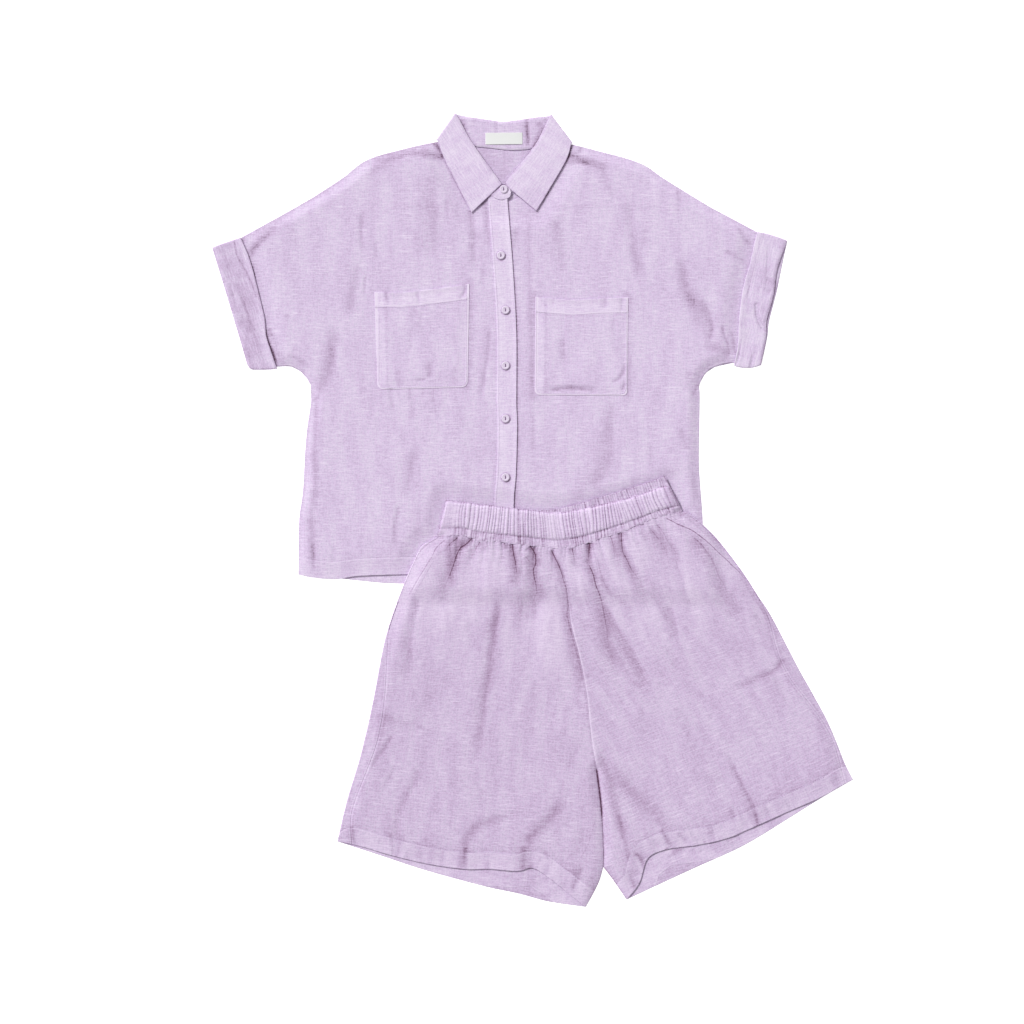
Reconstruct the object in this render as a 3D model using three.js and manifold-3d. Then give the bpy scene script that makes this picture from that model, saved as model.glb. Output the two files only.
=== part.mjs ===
// Linen shirt and shorts set, laid flat face up: a short-sleeved buttoned shirt with its sleeves
// cut in one with the body, and elastic-waisted shorts that lie over the shirt's lower hem.
// Millimetres, +Y towards the collar, +Z up from the surface; the origin ends at the bottom centre.
import * as THREE from "three";
import { mergeVertices } from "three/addons/utils/BufferGeometryUtils.js";
import Module from "manifold-3d";

const wasm = await Module();
wasm.setup();

// Cloth thicknesses and the gap that is kept at every seam and between layers
const WALL = 1.0;
const GAP = 0.3;
const LAYER = WALL + GAP;
const COLLAR_WALL = 1.5;
const PLACKET_WALL = 1.2;
const BAND_WALL = 2.2;
const CUFF_HEIGHT = 3 * WALL + 2 * GAP; // two cuff walls with the sleeve's front between them

// Shirt sizes
const PLACKET_WIDTH = 25;
const FRONTS_MEET = 4; // the fronts' edges meet this far to the wearer's right of the placket's middle
const YOKE_SEAM = 491; // height of the yoke seam above the back hem
const SHIRT_LIFT = 1.5; // how far a crumpled front floats over the back
const LABEL_WIDTH = 48;
const LABEL_DEPTH = 15;
const LABEL_PLACE = new THREE.Vector2(-2, 580);
const LABEL_TURN = THREE.MathUtils.degToRad(0.5);

// Buttons: a two-hole disc with a raised rim
const BUTTON = { radius: 6.25, edge: 1.4, rim: 2.2, dish: 1.5, dishRadius: 3.6, holeRadius: 0.7, holeSpacing: 2.8 };
const BUTTON_SIDES = 16;

// Shorts sizes and place: their own frame has the waist seam's middle at the origin
const SHORTS_PLACE = new THREE.Vector3(68, 48, 0);
const SHORTS_TURN = THREE.MathUtils.degToRad(7);
const WAIST_LIFT = 3.4; // how far the gathers stand over the back, at the waist and at the hem
const HEM_LIFT = 1.4;
const GATHERS = 26;
const GATHER_RISE = 0.6;
const SHIRT_STACK = 2 * WALL + 3 * GAP; // the shirt's two layers under the shorts
const PLACKET_STACK = PLACKET_WALL + GAP;
const SHIRT_SIDE = 257; // x of the shirt's side seam by the shorts
const BEYOND_HEM = [4, 30]; // how far past the shirt the shorts stay up, and come down to the surface
const BESIDE_PLACKET = [22, 40]; // the same on each side of the buttons' line

// Grids that the crumpled sheets are made on; a piece that lies on a panel uses the panel's grid
const SHIRT_CELL = { x: 20, y: 36 };
const SHORTS_CELL = { x: 15, y: 36 };

// The crumple of a front dies out over FADE, this far before what holds it flat
const FLAT_MARGIN = 42;
const FADE = 34;

const table = (names, ...rows) =>
  rows.map((row) => Object.fromEntries(names.split(" ").map((name, i) => [name, row[i]])));

// ---------------------------------------------------------------- tables of the shirt
// x is measured from the line of buttons, y from the back hem; wearer's right is at negative x.
const SHOULDER_RIGHT = table("x y", [-65, 577], [-92, 575], [-133, 566], [-180, 552], [-211, 529], [-249, 504],
  [-296, 477], [-342, 449]);
const SHOULDER_LEFT = table("x y", [63, 576], [92, 571], [127, 562], [154, 555], [181, 545], [204, 529], [241, 506],
  [271, 488], [325, 457]);
const NECK_RIGHT = table("x y", [-15, 499], [-38, 519], [-57, 550], [-65, 577]);
const NECK_LEFT = table("x y", [8, 499], [36, 519], [55, 550], [63, 576]);
const BACK_NECK = table("x y", [-65, 577], [-41, 570], [-19, 567.5], [2, 565], [18, 565], [39, 568], [63, 576]);
const SLEEVE_END_RIGHT = table("x y", [-378.5, 437.5], [-359.5, 373], [-339.5, 306], [-330, 282]);
const SLEEVE_END_LEFT = table("x y", [364, 446], [351.5, 410], [347.5, 378], [338.5, 344], [337.5, 322], [330.5, 288]);
const UNDERARM_RIGHT = table("x y", [-297, 284], [-278, 284], [-262, 274], [-253, 260], [-252, 242]);
const UNDERARM_LEFT = table("x y", [290, 289], [268, 282], [256, 270], [251, 256], [252, 242]);
const SIDE_RIGHT = table("x y", [-252, 242], [-259, 190], [-263, 123], [-268, 83], [-269, 14]);
const SIDE_LEFT = table("x y", [252, 242], [251, 162], [253, 125], [256, 81], [257, 10]);
const FRONT_HEM_RIGHT = table("x y", [-269, 14], [-249, 10], [-220, 8], [-190, 12], [-125, 14], [-13, 14]);
const FRONT_HEM_LEFT = table("x y", [-13, 14], [120, 12], [257, 10]);
const BACK_HEM = table("x y", [-269, 12], [-220, 7.5], [-190, 4], [-132, 0], [0, 2], [140, 4], [257, 8]);
const PLACKET_LINE = table("x y", [-10, 499], [-3, 410], [1.5, 326], [1.5, 240], [2.5, 205], [1, 146], [-2, 104], [-2, 14]);
const CUFF_RIGHT = {
  hand: table("x y", [-381, 438.5], [-361, 373], [-341, 306], [-335, 286], [-330, 280]),
  free: table("x y", [-344, 451.5], [-332, 422], [-320, 377], [-313, 347], [-311, 326], [-306, 308], [-297, 281]),
};
const CUFF_LEFT = {
  hand: table("x y", [366, 447.5], [353, 410], [349, 378], [340, 344], [339, 322], [332, 286]),
  free: table("x y", [327, 459], [321, 433], [314, 393], [305, 348], [300, 311], [291, 286]),
};
const POCKET_RIGHT = table("x y round", [-170, 380, 1], [-132, 380, 0], [-79, 386, 0], [-47, 391, 1], [-49, 257, 9],
  [-105, 255, 0], [-166, 254, 9]);
const POCKET_LEFT = table("x y round", [39, 374, 1], [87, 370, 0], [122, 372, 0], [159, 373, 1], [158, 246, 6],
  [92, 246, 0], [38, 247, 6]);
const BUTTON_PLACES = table("x y", [-2.4, 514], [-6, 428], [0, 357], [0, 285], [0, 216], [0, 140]);

// The collar: a leaf on each side, joined along its fold to the back fall underneath; roll is the
// line that it turns down from, along the neck opening
const LEAF_RIGHT = {
  fold: table("x y", [-66, 613], [-90, 579]),
  outer: table("x y", [-90, 579], [-78, 551], [-44, 484]),
  roll: table("x y", [-5, 521], [-41, 571], [-66, 613]),
};
const LEAF_LEFT = {
  fold: table("x y", [60, 611], [87, 575]),
  outer: table("x y", [87, 575], [80, 554], [55, 511], [40, 486]),
  roll: table("x y", [5, 517], [3, 529], [38, 569], [60, 611]),
};
const ROLL_BACK = table("x y", [-66, 613], [-45, 608], [-19, 604], [-3, 602], [15, 604], [46, 609], [60, 611]);
const FALL_EDGE = table("x y", [-90, 579], [-65, 577.5], [-41, 570.5], [-19, 568], [2, 565.5], [18, 565.5], [39, 568.5],
  [63, 576.5], [87, 575]);
const STAND_RIGHT = table("x y", [-62, 609], [-43, 573], [-22, 545], [-5, 520], [2, 520], [6.6, 516], [7, 510], [4, 503],
  [-12, 502], [-36, 522], [-55, 552], [-62, 578]);
const STAND_LEFT = table("x y", [57, 607], [38, 572], [14, 539], [8, 529], [8, 511], [34, 522], [53, 552], [60, 578]);

// Folds of the shirt: a soft trough from its start to its end, bowed sideways by bow; rise is negative
const SHIRT_FOLDS = table("x0 y0 x1 y1 bow width rise",
  [-186, 480, -229, 280, 22, 10, -1.4],
  [-206, 350, -243, 215, 0, 11, -1.8],
  [-245, 200, -250, 40, 0, 9, -1.2],
  [-47, 482, -34, 400, 0, 9, -1.2],
  [-148, 250, -144, 196, 0, 9, -1.2],
  [-116, 180, -146, 88, 0, 12, -1.4],
  [-222, 200, -212, 70, 0, 14, -1.0],
  [-92, 545, -100, 420, 0, 14, -1.0],
  [158, 485, 180, 392, 0, 11, -1.3],
  [230, 424, 268, 312, -6, 11, -1.8],
  [192, 403, 202, 372, 0, 8, -1.0],
  [129, 240, 133, 150, 0, 10, -1.3],
  [215, 215, 222, 150, 0, 12, -1.1],
  [66, 480, 78, 400, 0, 12, -1.0],
  [180, 225, 174, 160, 0, 12, -1.0],
);

// ---------------------------------------------------------------- tables of the shorts
// In the shorts' own frame, x across and y up from the middle of the waist seam.
const BAND_TOP_FRONT = table("x y", [-136, 80], [-114, 74], [-73, 64], [-24, 52], [15, 46], [88, 52], [153, 64]);
const BAND_TOP_BACK = table("x y", [-135, 77], [-73, 62], [-24, 52], [15, 51], [77, 61], [116, 68], [149, 75]);
const BAND_BOTTOM = table("x y", [-154, 34], [-124, 32], [-103, 24], [-66, 15], [-32, 7], [0, 0], [32, 1], [70, 8],
  [109, 17], [135, 24], [166, 28]);
const CENTRE_SEAM = table("x y", [-9, 0.5], [4, -40], [5, -99], [11, -147], [14, -193], [13, -250], [15, -293]);
const LEG_GAP = table("x y", [15, -293], [15, -339], [11, -398], [8, -418]);
const LEG_RIGHT = {
  outer: table("x y", [-154, 33.6], [-174, 25], [-184, 12], [-205, -23], [-228, -68], [-243, -106], [-263, -169],
    [-287, -235], [-312, -292], [-331, -342]),
  seam: table("x y", [-229, -64], [-235, -105], [-248, -171], [-265, -225], [-301, -293], [-311, -323], [-312, -349]),
  frontHem: table("x y", [-331, -343], [-291, -358], [-263, -370], [-220, -386], [-172, -399], [-139, -403],
    [-103, -410], [-82, -409], [-60, -427], [-21, -467]),
  backHem: table("x y", [-331, -344], [-276, -369], [-221, -395], [-148, -425], [-105, -440], [-68, -455], [-21, -468]),
  inner: table("x y", [-21, -468], [-10, -452], [1, -435], [8, -418]),
};
const LEG_LEFT = {
  outer: table("x y", [166, 27.6], [173, 25], [191, 7], [210, -18], [234, -59], [250, -92], [265, -123], [290, -190],
    [306, -229], [320, -265], [329, -296], [336, -323], [344, -345]),
  seam: table("x y", [271, -138], [267, -170], [278, -203], [297, -236], [316, -270], [326, -300], [333, -352]),
  frontHem: table("x y", [344, -345], [300, -363], [267, -373], [214, -389], [173, -401], [134, -405], [90, -406],
    [66, -415], [52, -444], [33, -464]),
  backHem: table("x y", [344, -346], [300, -364], [253, -386], [212, -405], [179, -418], [130, -433], [77, -450],
    [33, -464.5]),
  inner: table("x y", [33, -464], [19, -437], [8, -418]),
};
const SHORTS_FOLDS = table("x0 y0 x1 y1 bow width rise",
  [-106, 40, -164, -62, 6, 9, -2.6],
  [-34, 20, -54, -92, 6, 9, -2.4],
  [-58, 25, -62, -56, 0, 6, -1.4],
  [-86, -50, -150, -280, 10, 12, -1.8],
  [-190, -40, -223, -200, 5, 10, -1.5],
  [-128, -60, -136, -135, 0, 9, -1.0],
  [-202, -232, -263, -378, 4, 10, -1.6],
  [-34, -310, -172, -398, 22, 10, -1.5],
  [-22, -290, -102, -412, 9, 9, -2.0],
  [-9, 20, 13, -293, -6, 6, -1.2],
  [40, 20, 55, -180, 7, 9, -2.8],
  [84, 24, 116, -96, 6, 8, -2.4],
  [115, 30, 155, -54, 4, 8, -2.2],
  [186, -12, 218, -112, 2, 9, -1.8],
  [66, -90, 83, -176, 3, 12, -1.3],
  [131, -90, 146, -156, 0, 10, -1.2],
  [184, -288, 214, -398, 2, 7, -1.6],
  [44, -262, 90, -336, 0, 12, -1.4],
  [22, -268, 42, -400, 0, 8, -2.2],
  [-26, -30, -42, -190, 0, 16, 1.0],
  [-148, -30, -160, -96, 0, 14, 0.8],
);

// ---------------------------------------------------------------- curves and distances
const { smoothstep, clamp } = THREE.MathUtils;

/** Points of a smooth curve through the rows, with perSpan points for each pair of rows. */
function curve(rows, perSpan = 2) {
  const through = new THREE.SplineCurve(rows.map(({ x, y }) => new THREE.Vector2(x, y)));
  return through.getPoints(perSpan * (rows.length - 1));
}

/** Points straight from row to row. */
const straight = (rows) => rows.map(({ x, y }) => new THREE.Vector2(x, y));

const moved = (points, dx, dy) => points.map((p) => new THREE.Vector2(p.x + dx, p.y + dy));

/** The distance from (x, y) to the nearest point of a polyline. */
function distanceTo(points, x, y) {
  let nearest = Infinity;
  for (let i = 1; i < points.length; i++) {
    const a = points[i - 1];
    const along = points[i].clone().sub(a);
    const share = clamp(((x - a.x) * along.x + (y - a.y) * along.y) / (along.lengthSq() || 1), 0, 1);
    nearest = Math.min(nearest, Math.hypot(x - a.x - share * along.x, y - a.y - share * along.y));
  }
  return nearest;
}

/** x on a polyline that runs down the garment, at height y. */
function xAt(points, y) {
  const sorted = [...points].sort((a, b) => a.y - b.y);
  const above = sorted.findIndex((p) => p.y >= y);
  if (above <= 0) return above < 0 ? sorted[sorted.length - 1].x : sorted[0].x;
  const [low, high] = [sorted[above - 1], sorted[above]];
  return low.x + ((y - low.y) / (high.y - low.y)) * (high.x - low.x);
}

/** The sum of the folds: each is a bell across its bowed line, and fades out at its lower end. */
function foldsOf(rows) {
  return (x, y) =>
    rows.reduce((sum, fold) => {
      const along = new THREE.Vector2(fold.x1 - fold.x0, fold.y1 - fold.y0);
      const length = along.length();
      along.divideScalar(length);
      const share = ((x - fold.x0) * along.x + (y - fold.y0) * along.y) / length;
      const s = clamp(share, 0, 1);
      const aside = (x - fold.x0) * along.y - (y - fold.y0) * along.x - fold.bow * 4 * s * (1 - s);
      const ends = smoothstep(share, -0.1, 0.08) * (1 - smoothstep(share, 0.65, 1.1));
      return sum + fold.rise * ends * Math.exp(-((aside / fold.width) ** 2));
    }, 0);
}

/** The height over a sheet's own triangles, whose cells are split from low corner to high corner. */
function faceted(height, cell) {
  const known = new Map();
  const node = (i, j) => {
    const key = i * 4096 + j;
    if (!known.has(key)) known.set(key, height(i * cell.x, j * cell.y));
    return known.get(key);
  };
  return (x, y) => {
    const [i, j] = [Math.floor(x / cell.x), Math.floor(y / cell.y)];
    const [u, v] = [x / cell.x - i, y / cell.y - j];
    const low = node(i, j);
    const high = node(i + 1, j + 1);
    const side = u > v ? node(i + 1, j) : node(i, j + 1);
    return u > v ? low + u * (side - low) + v * (high - side) : low + v * (side - low) + u * (high - side);
  };
}

// ---------------------------------------------------------------- solids
/** A closed mesh of positions as a solid. */
function solidOf(geometry) {
  geometry.deleteAttribute("normal");
  geometry.deleteAttribute("uv");
  const merged = mergeVertices(geometry, 1e-4);
  return new wasm.Manifold(new wasm.Mesh({
    numProp: 3,
    vertProperties: new Float32Array(merged.attributes.position.array),
    triVerts: new Uint32Array(merged.index.array),
  }));
}

/** An upright prism over the outline, from low to high. */
function prism(outline, low, high) {
  const shape = new THREE.ExtrudeGeometry(new THREE.Shape(outline), { depth: high - low, bevelEnabled: false });
  return solidOf(shape.translate(0, 0, low));
}

/** A closed wall over a grid of columns by rows, from the low and high points of each corner. */
function wallOf(columns, rows, lowPoint, highPoint) {
  const positions = [];
  for (const point of [lowPoint, highPoint])
    for (let j = 0; j <= rows; j++) for (let i = 0; i <= columns; i++) positions.push(...point(i, j));
  const low = (i, j) => j * (columns + 1) + i;
  const high = (i, j) => (columns + 1) * (rows + 1) + low(i, j);
  const faces = [];
  const quad = (a, b, c, d) => faces.push(a, b, c, a, c, d);
  for (let j = 0; j < rows; j++)
    for (let i = 0; i < columns; i++) {
      quad(high(i, j), high(i + 1, j), high(i + 1, j + 1), high(i, j + 1));
      faces.push(low(i, j), low(i + 1, j + 1), low(i + 1, j));
      faces.push(low(i, j), low(i, j + 1), low(i + 1, j + 1));
    }
  for (let i = 0; i < columns; i++) {
    quad(low(i, 0), low(i + 1, 0), high(i + 1, 0), high(i, 0));
    quad(low(i + 1, rows), low(i, rows), high(i, rows), high(i + 1, rows));
  }
  for (let j = 0; j < rows; j++) {
    quad(low(0, j + 1), low(0, j), high(0, j), high(0, j + 1));
    quad(low(columns, j), low(columns, j + 1), high(columns, j + 1), high(columns, j));
  }
  const geometry = new THREE.BufferGeometry();
  geometry.setAttribute("position", new THREE.Float32BufferAttribute(positions, 3));
  geometry.setIndex(faces);
  return solidOf(geometry);
}

/** A sheet of cloth on the grid, its underside at height under(x, y), trimmed to the outline; its
 *  wall is a thickness, or a function of the place. */
function sheet(outline, under, wall, cell) {
  const thickness = typeof wall === "function" ? wall : () => wall;
  const box = new THREE.Box2().setFromPoints(outline);
  const [i0, j0] = [Math.floor(box.min.x / cell.x) - 1, Math.floor(box.min.y / cell.y) - 1];
  const columns = Math.ceil(box.max.x / cell.x) + 1 - i0;
  const rows = Math.ceil(box.max.y / cell.y) + 1 - j0;
  const point = (share) => (i, j) => {
    const [x, y] = [(i0 + i) * cell.x, (j0 + j) * cell.y];
    return [x, y, under(x, y) + share * thickness(x, y)];
  };
  return wallOf(columns, rows, point(0), point(1)).intersect(prism(outline, -10, 60));
}

/** A band of cloth between two edges, each [low, high] pair of heights given at (across, up, x, y). */
function band(bottomRows, topRows, columns, rows, heights) {
  const edge = (points) =>
    new THREE.SplineCurve(points.map(({ x, y }) => new THREE.Vector2(x, y))).getSpacedPoints(columns);
  const [bottom, top] = [edge(bottomRows), edge(topRows)];
  const point = (end) => (i, j) => {
    const { x, y } = bottom[i].clone().lerp(top[i], j / rows);
    return [x, y, heights(i / columns, j / rows, x, y)[end]];
  };
  return wallOf(columns, rows, point(0), point(1));
}

// ---------------------------------------------------------------- heights of the shirt
const placketLine = curve(PLACKET_LINE, 2);
const cuffLines = [straight(CUFF_RIGHT.free), straight(CUFF_LEFT.free)];

/** 1 where a front is held flat and up to FLAT_MARGIN around, fading to 0 beyond. */
const heldFlat = (distance) => 1 - smoothstep(distance, FLAT_MARGIN, FLAT_MARGIN + FADE);
function byCuff(x, y) {
  const inside = x < xAt(cuffLines[0], y) || x > xAt(cuffLines[1], y);
  return inside ? 1 : heldFlat(Math.min(...cuffLines.map((line) => distanceTo(line, x, y))));
}
const byNeck = (x, y) => heldFlat(Math.hypot(Math.max(0, Math.abs(x) - 50), Math.max(0, 530 - y)));
function byShorts(x, y) {
  const own = new THREE.Vector2(x - SHORTS_PLACE.x, y - SHORTS_PLACE.y).rotateAround(new THREE.Vector2(), -SHORTS_TURN);
  return heldFlat(Math.hypot(Math.max(0, own.y - 80), Math.max(0, -205 - own.x)));
}

const shirtFolds = foldsOf(SHIRT_FOLDS);
const shirtEdges = {
  right: [...straight(SHOULDER_RIGHT), ...straight(SLEEVE_END_RIGHT), ...curve(UNDERARM_RIGHT), ...straight(SIDE_RIGHT),
    ...straight(FRONT_HEM_RIGHT), ...placketLine.toReversed()],
  left: [...straight(SHOULDER_LEFT), ...straight(SLEEVE_END_LEFT), ...curve(UNDERARM_LEFT), ...straight(SIDE_LEFT),
    ...straight(FRONT_HEM_LEFT).toReversed(), ...placketLine.toReversed()],
};

/** The underside of the shirt's fronts: one layer over the back, crumpled where nothing holds them flat. */
function frontUnder(x, y) {
  const edge = x < xAt(placketLine, y) ? shirtEdges.right : shirtEdges.left;
  const free = 1 - Math.max(byCuff(x, y), byNeck(x, y), byShorts(x, y));
  const loose = free * smoothstep(distanceTo(edge, x, y), SHIRT_CELL.x / 2, 2 * SHIRT_CELL.x);
  return LAYER + loose * Math.max(0, SHIRT_LIFT + shirtFolds(x, y));
}
const frontTop = faceted((x, y) => frontUnder(x, y) + WALL, SHIRT_CELL);
const onFront = (x, y) => frontTop(x, y) + GAP;
const FRONT_FLAT_TOP = LAYER + WALL;

// ---------------------------------------------------------------- pieces of the shirt
/** The back lies flat on the surface and ends where the cuffs begin. */
function backCloth() {
  const sleeve = ({ free }, inward) => moved(straight(free).slice(1, -1), inward * (GAP + 0.2), 0);
  const outline = [...curve(BACK_NECK), ...straight(SHOULDER_LEFT).slice(1), ...sleeve(CUFF_LEFT, -1),
    ...curve(UNDERARM_LEFT), ...straight(SIDE_LEFT).slice(1, -1), ...straight(BACK_HEM).toReversed(),
    ...straight(SIDE_RIGHT).slice(1, -1).toReversed(), ...curve(UNDERARM_RIGHT).toReversed(),
    ...sleeve(CUFF_RIGHT, 1).toReversed(), ...straight(SHOULDER_RIGHT).slice(1).toReversed()];
  return prism(outline, 0, WALL);
}
const acrossFrom = (low, high) =>
  prism(straight(table("x y", [-450, low], [450, low], [450, high], [-450, high])), -10, 60);
const shirtBack = () => backCloth().intersect(acrossFrom(-50, YOKE_SEAM));
const backYoke = () => backCloth().intersect(acrossFrom(YOKE_SEAM + GAP, 700));

/** A front from its neck round to its hem; the two fronts meet under the placket. */
function frontRight() {
  const outline = [...curve(NECK_RIGHT), ...straight(SHOULDER_RIGHT).slice(1), ...straight(SLEEVE_END_RIGHT),
    ...curve(UNDERARM_RIGHT), ...straight(SIDE_RIGHT).slice(1), ...straight(FRONT_HEM_RIGHT).slice(1, -1),
    ...moved(placketLine, -FRONTS_MEET - GAP / 2, 0).toReversed()];
  return sheet(outline, frontUnder, WALL, SHIRT_CELL);
}

function frontLeft() {
  const outline = [...curve(NECK_LEFT), ...straight(SHOULDER_LEFT).slice(1), ...straight(SLEEVE_END_LEFT),
    ...curve(UNDERARM_LEFT), ...straight(SIDE_LEFT).slice(1), ...straight(FRONT_HEM_LEFT).slice(1, -1).toReversed(),
    ...moved(placketLine, -FRONTS_MEET + GAP / 2, 0).toReversed()];
  return sheet(outline, frontUnder, WALL, SHIRT_CELL);
}

function placket() {
  const half = PLACKET_WIDTH / 2;
  const outline = [...moved(placketLine, -half, 0), ...moved(placketLine, half, 0).toReversed()];
  return sheet(outline, onFront, PLACKET_WALL, SHIRT_CELL);
}

/** A patch pocket: straight sides with rounded corners, on the front's own points. */
function pocket(corners) {
  const outline = corners.flatMap(({ x, y, round }, i) => {
    const here = new THREE.Vector2(x, y);
    if (!round) return [here];
    const [before, after] = [corners.at(i - 1), corners[(i + 1) % corners.length]].map((c) =>
      new THREE.Vector2(c.x, c.y).sub(here).setLength(round).add(here));
    return new THREE.QuadraticBezierCurve(before, here, after).getPoints(round > 2 ? 3 : 1);
  });
  return sheet(outline, onFront, WALL, SHIRT_CELL);
}

/** A turned-up cuff pressed flat: a ring of cloth round the end of the sleeve, open at both ends. */
function cuff({ hand, free }) {
  const shortened = (points) => {
    const toward = (from, to) => to.clone().sub(from).setLength(WALL).add(from);
    return [toward(points[0], points[1]), ...points.slice(1, -1), toward(points.at(-1), points.at(-2))];
  };
  const beyond = (points, others) =>
    points.map((p, i) => {
      const end = i === 0 ? others[0] : others.at(-1);
      return p.clone().add(p.clone().sub(end).setLength(20));
    });
  const [outer, inner] = [shortened(straight(hand)), shortened(straight(free))];
  const tunnel = [...beyond(outer, inner), ...beyond(inner, outer).toReversed()];
  const ring = prism([...straight(hand), ...straight(free).toReversed()], 0, CUFF_HEIGHT);
  return ring.subtract(prism(tunnel, WALL, CUFF_HEIGHT - WALL));
}

// Levels of the collar over the surface: the fall, the stand's back half, its front half, the leaves
const STAND_BACK_LEVEL = COLLAR_WALL + GAP;
const STAND_FRONT_LEVEL = FRONT_FLAT_TOP + GAP;
const LEAF_LEVEL = STAND_FRONT_LEVEL + LAYER;

/** The collar stand: a flattened ring whose back half lies under its front half, with a tab at the front. */
function collarStand() {
  const back = [...moved(curve(BACK_NECK), 0, GAP + 0.2), new THREE.Vector2(57, 607),
    ...moved(straight(ROLL_BACK).slice(1, -1), 0, -1).toReversed(), new THREE.Vector2(-62, 609)];
  const turn = (x0, x1, y0, y1) =>
    prism(straight(table("x y", [x0, y0], [x0 + 2, y0], [x1 + 2, y1], [x1, y1])), STAND_BACK_LEVEL,
      STAND_FRONT_LEVEL + WALL);
  return wasm.Manifold.union([
    prism(back, STAND_BACK_LEVEL, STAND_BACK_LEVEL + WALL),
    prism(straight(STAND_RIGHT), STAND_FRONT_LEVEL, STAND_FRONT_LEVEL + WALL),
    prism(straight(STAND_LEFT), STAND_FRONT_LEVEL, STAND_FRONT_LEVEL + WALL),
    turn(-61.5, -61.5, 580, 607),
    turn(57, 54.5, 580, 603),
  ]);
}

/** The collar: both leaves over the fronts, the back fall under the stand, and the folds between them. */
function collar() {
  const roof = LEAF_LEVEL + COLLAR_WALL;
  const parts = [LEAF_RIGHT, LEAF_LEFT].flatMap(({ fold, outer, roll }) => {
    const [a, b] = straight(fold);
    const inward = new THREE.Vector2(-a.x, -25).setLength(COLLAR_WALL);
    const turn = [a, b, b.clone().add(inward), a.clone().add(inward)];
    return [prism([...straight(outer), ...straight(roll)], LEAF_LEVEL, roof), prism(turn, 0, roof)];
  });
  const fall = [...straight(ROLL_BACK), ...straight(FALL_EDGE).toReversed()];
  return wasm.Manifold.union([...parts, prism(fall, 0, COLLAR_WALL)]);
}

function neckLabel() {
  const [w, d] = [LABEL_WIDTH / 2, LABEL_DEPTH / 2];
  const corners = straight(table("x y", [-w, -d], [w, -d], [w, d], [-w, d]));
  const placed = corners.map((p) => p.rotateAround(new THREE.Vector2(), LABEL_TURN).add(LABEL_PLACE));
  const floor = STAND_BACK_LEVEL + LAYER;
  return prism(placed, floor, floor + WALL);
}

/** A button turned about its own axis, with two sewing holes up and down. */
function button() {
  const { radius, edge, rim, dish, dishRadius, holeRadius, holeSpacing } = BUTTON;
  const profile = [[0, 0], [radius, 0], [radius, edge], [radius - 1.2, rim], [dishRadius, dish], [0, dish]];
  const disc = new THREE.LatheGeometry(profile.map(([r, z]) => new THREE.Vector2(r, z)), BUTTON_SIDES);
  const hole = (y) =>
    solidOf(new THREE.CylinderGeometry(holeRadius, holeRadius, 8, 5).rotateX(Math.PI / 2).translate(0, y, 0));
  return solidOf(disc.rotateX(Math.PI / 2)).subtract(hole(-holeSpacing / 2)).subtract(hole(holeSpacing / 2));
}

/** The height at which a button clears the placket under it, or the stand's tab under the first one. */
function buttonSeat(place, first) {
  if (first) return STAND_FRONT_LEVEL + LAYER;
  const around = [...Array(BUTTON_SIDES).keys()].map((i) => (i * 2 * Math.PI) / BUTTON_SIDES);
  const heights = around.map((a) =>
    onFront(place.x + BUTTON.radius * Math.cos(a), place.y + BUTTON.radius * Math.sin(a)));
  return Math.max(...heights) + PLACKET_WALL + GAP;
}

// ---------------------------------------------------------------- heights of the shorts
const origin = new THREE.Vector2();
const toShirt = (x, y) => new THREE.Vector2(x, y).rotateAround(origin, SHORTS_TURN).add(SHORTS_PLACE);
const fromShirt = (x, y) => new THREE.Vector2(x, y).sub(SHORTS_PLACE).rotateAround(origin, -SHORTS_TURN);

/** What the shorts lie on: a level over the shirt, a higher one over its placket, and slopes between. */
function ground(x, y) {
  const at = toShirt(x, y);
  const ramp = (value, from, to) => clamp((value - from) / (to - from), 0, 1);
  const overShirt = 1 - Math.max(ramp(-at.y, ...BEYOND_HEM), ramp(at.x - SHIRT_SIDE, ...BEYOND_HEM));
  return overShirt * (SHIRT_STACK + PLACKET_STACK * (1 - ramp(Math.abs(at.x), ...BESIDE_PLACKET)));
}

/** The ground's highest level within one cell, so that a sheet on the cells never dips into it. */
function highGround(x, y) {
  const around = [[0, 0], [-1, -1], [1, -1], [-1, 1], [1, 1]];
  return Math.max(...around.map(([i, j]) => ground(x + i * SHORTS_CELL.x, y + j * SHORTS_CELL.y)));
}

const centreSeam = curve(CENTRE_SEAM, 2);
const legGap = straight(LEG_GAP);
const shortsFolds = foldsOf(SHORTS_FOLDS);
const openEdges = [LEG_RIGHT, LEG_LEFT].map((leg) =>
  [...straight(leg.outer), ...straight(leg.frontHem), ...straight(leg.inner), ...legGap.toReversed()]);

/** The underside of the shorts' fronts: they stand away from the back most at the gathered waist. */
function legFrontUnder(x, y) {
  const lift = THREE.MathUtils.lerp(WAIST_LIFT, HEM_LIFT, smoothstep(-y, -20, 160));
  const edge = openEdges[x < xAt(centreSeam, y) ? 0 : 1];
  const loose = smoothstep(distanceTo(edge, x, y), 0, 30);
  return highGround(x, y) + LAYER + loose * Math.max(0, lift + shortsFolds(x, y));
}

// ---------------------------------------------------------------- pieces of the shorts
/** The leg's outline with the given hem: waist seam, outer edge, hem, inner edge and centre seam. */
function legOutline(leg, side, hem) {
  const centre = moved([...centreSeam, ...legGap.slice(1)], side * GAP * 0.6, 0);
  const waist = moved(curve(BAND_BOTTOM, 2).filter((p) => side * (p.x - centreSeam[0].x) > 6), 0, -2 * GAP);
  const fromCentre = side < 0 ? waist.toReversed() : waist;
  return [...fromCentre, ...straight(leg.outer).slice(1, -1), ...straight(hem), ...straight(leg.inner).slice(1, -1),
    ...centre.toReversed()];
}

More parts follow.
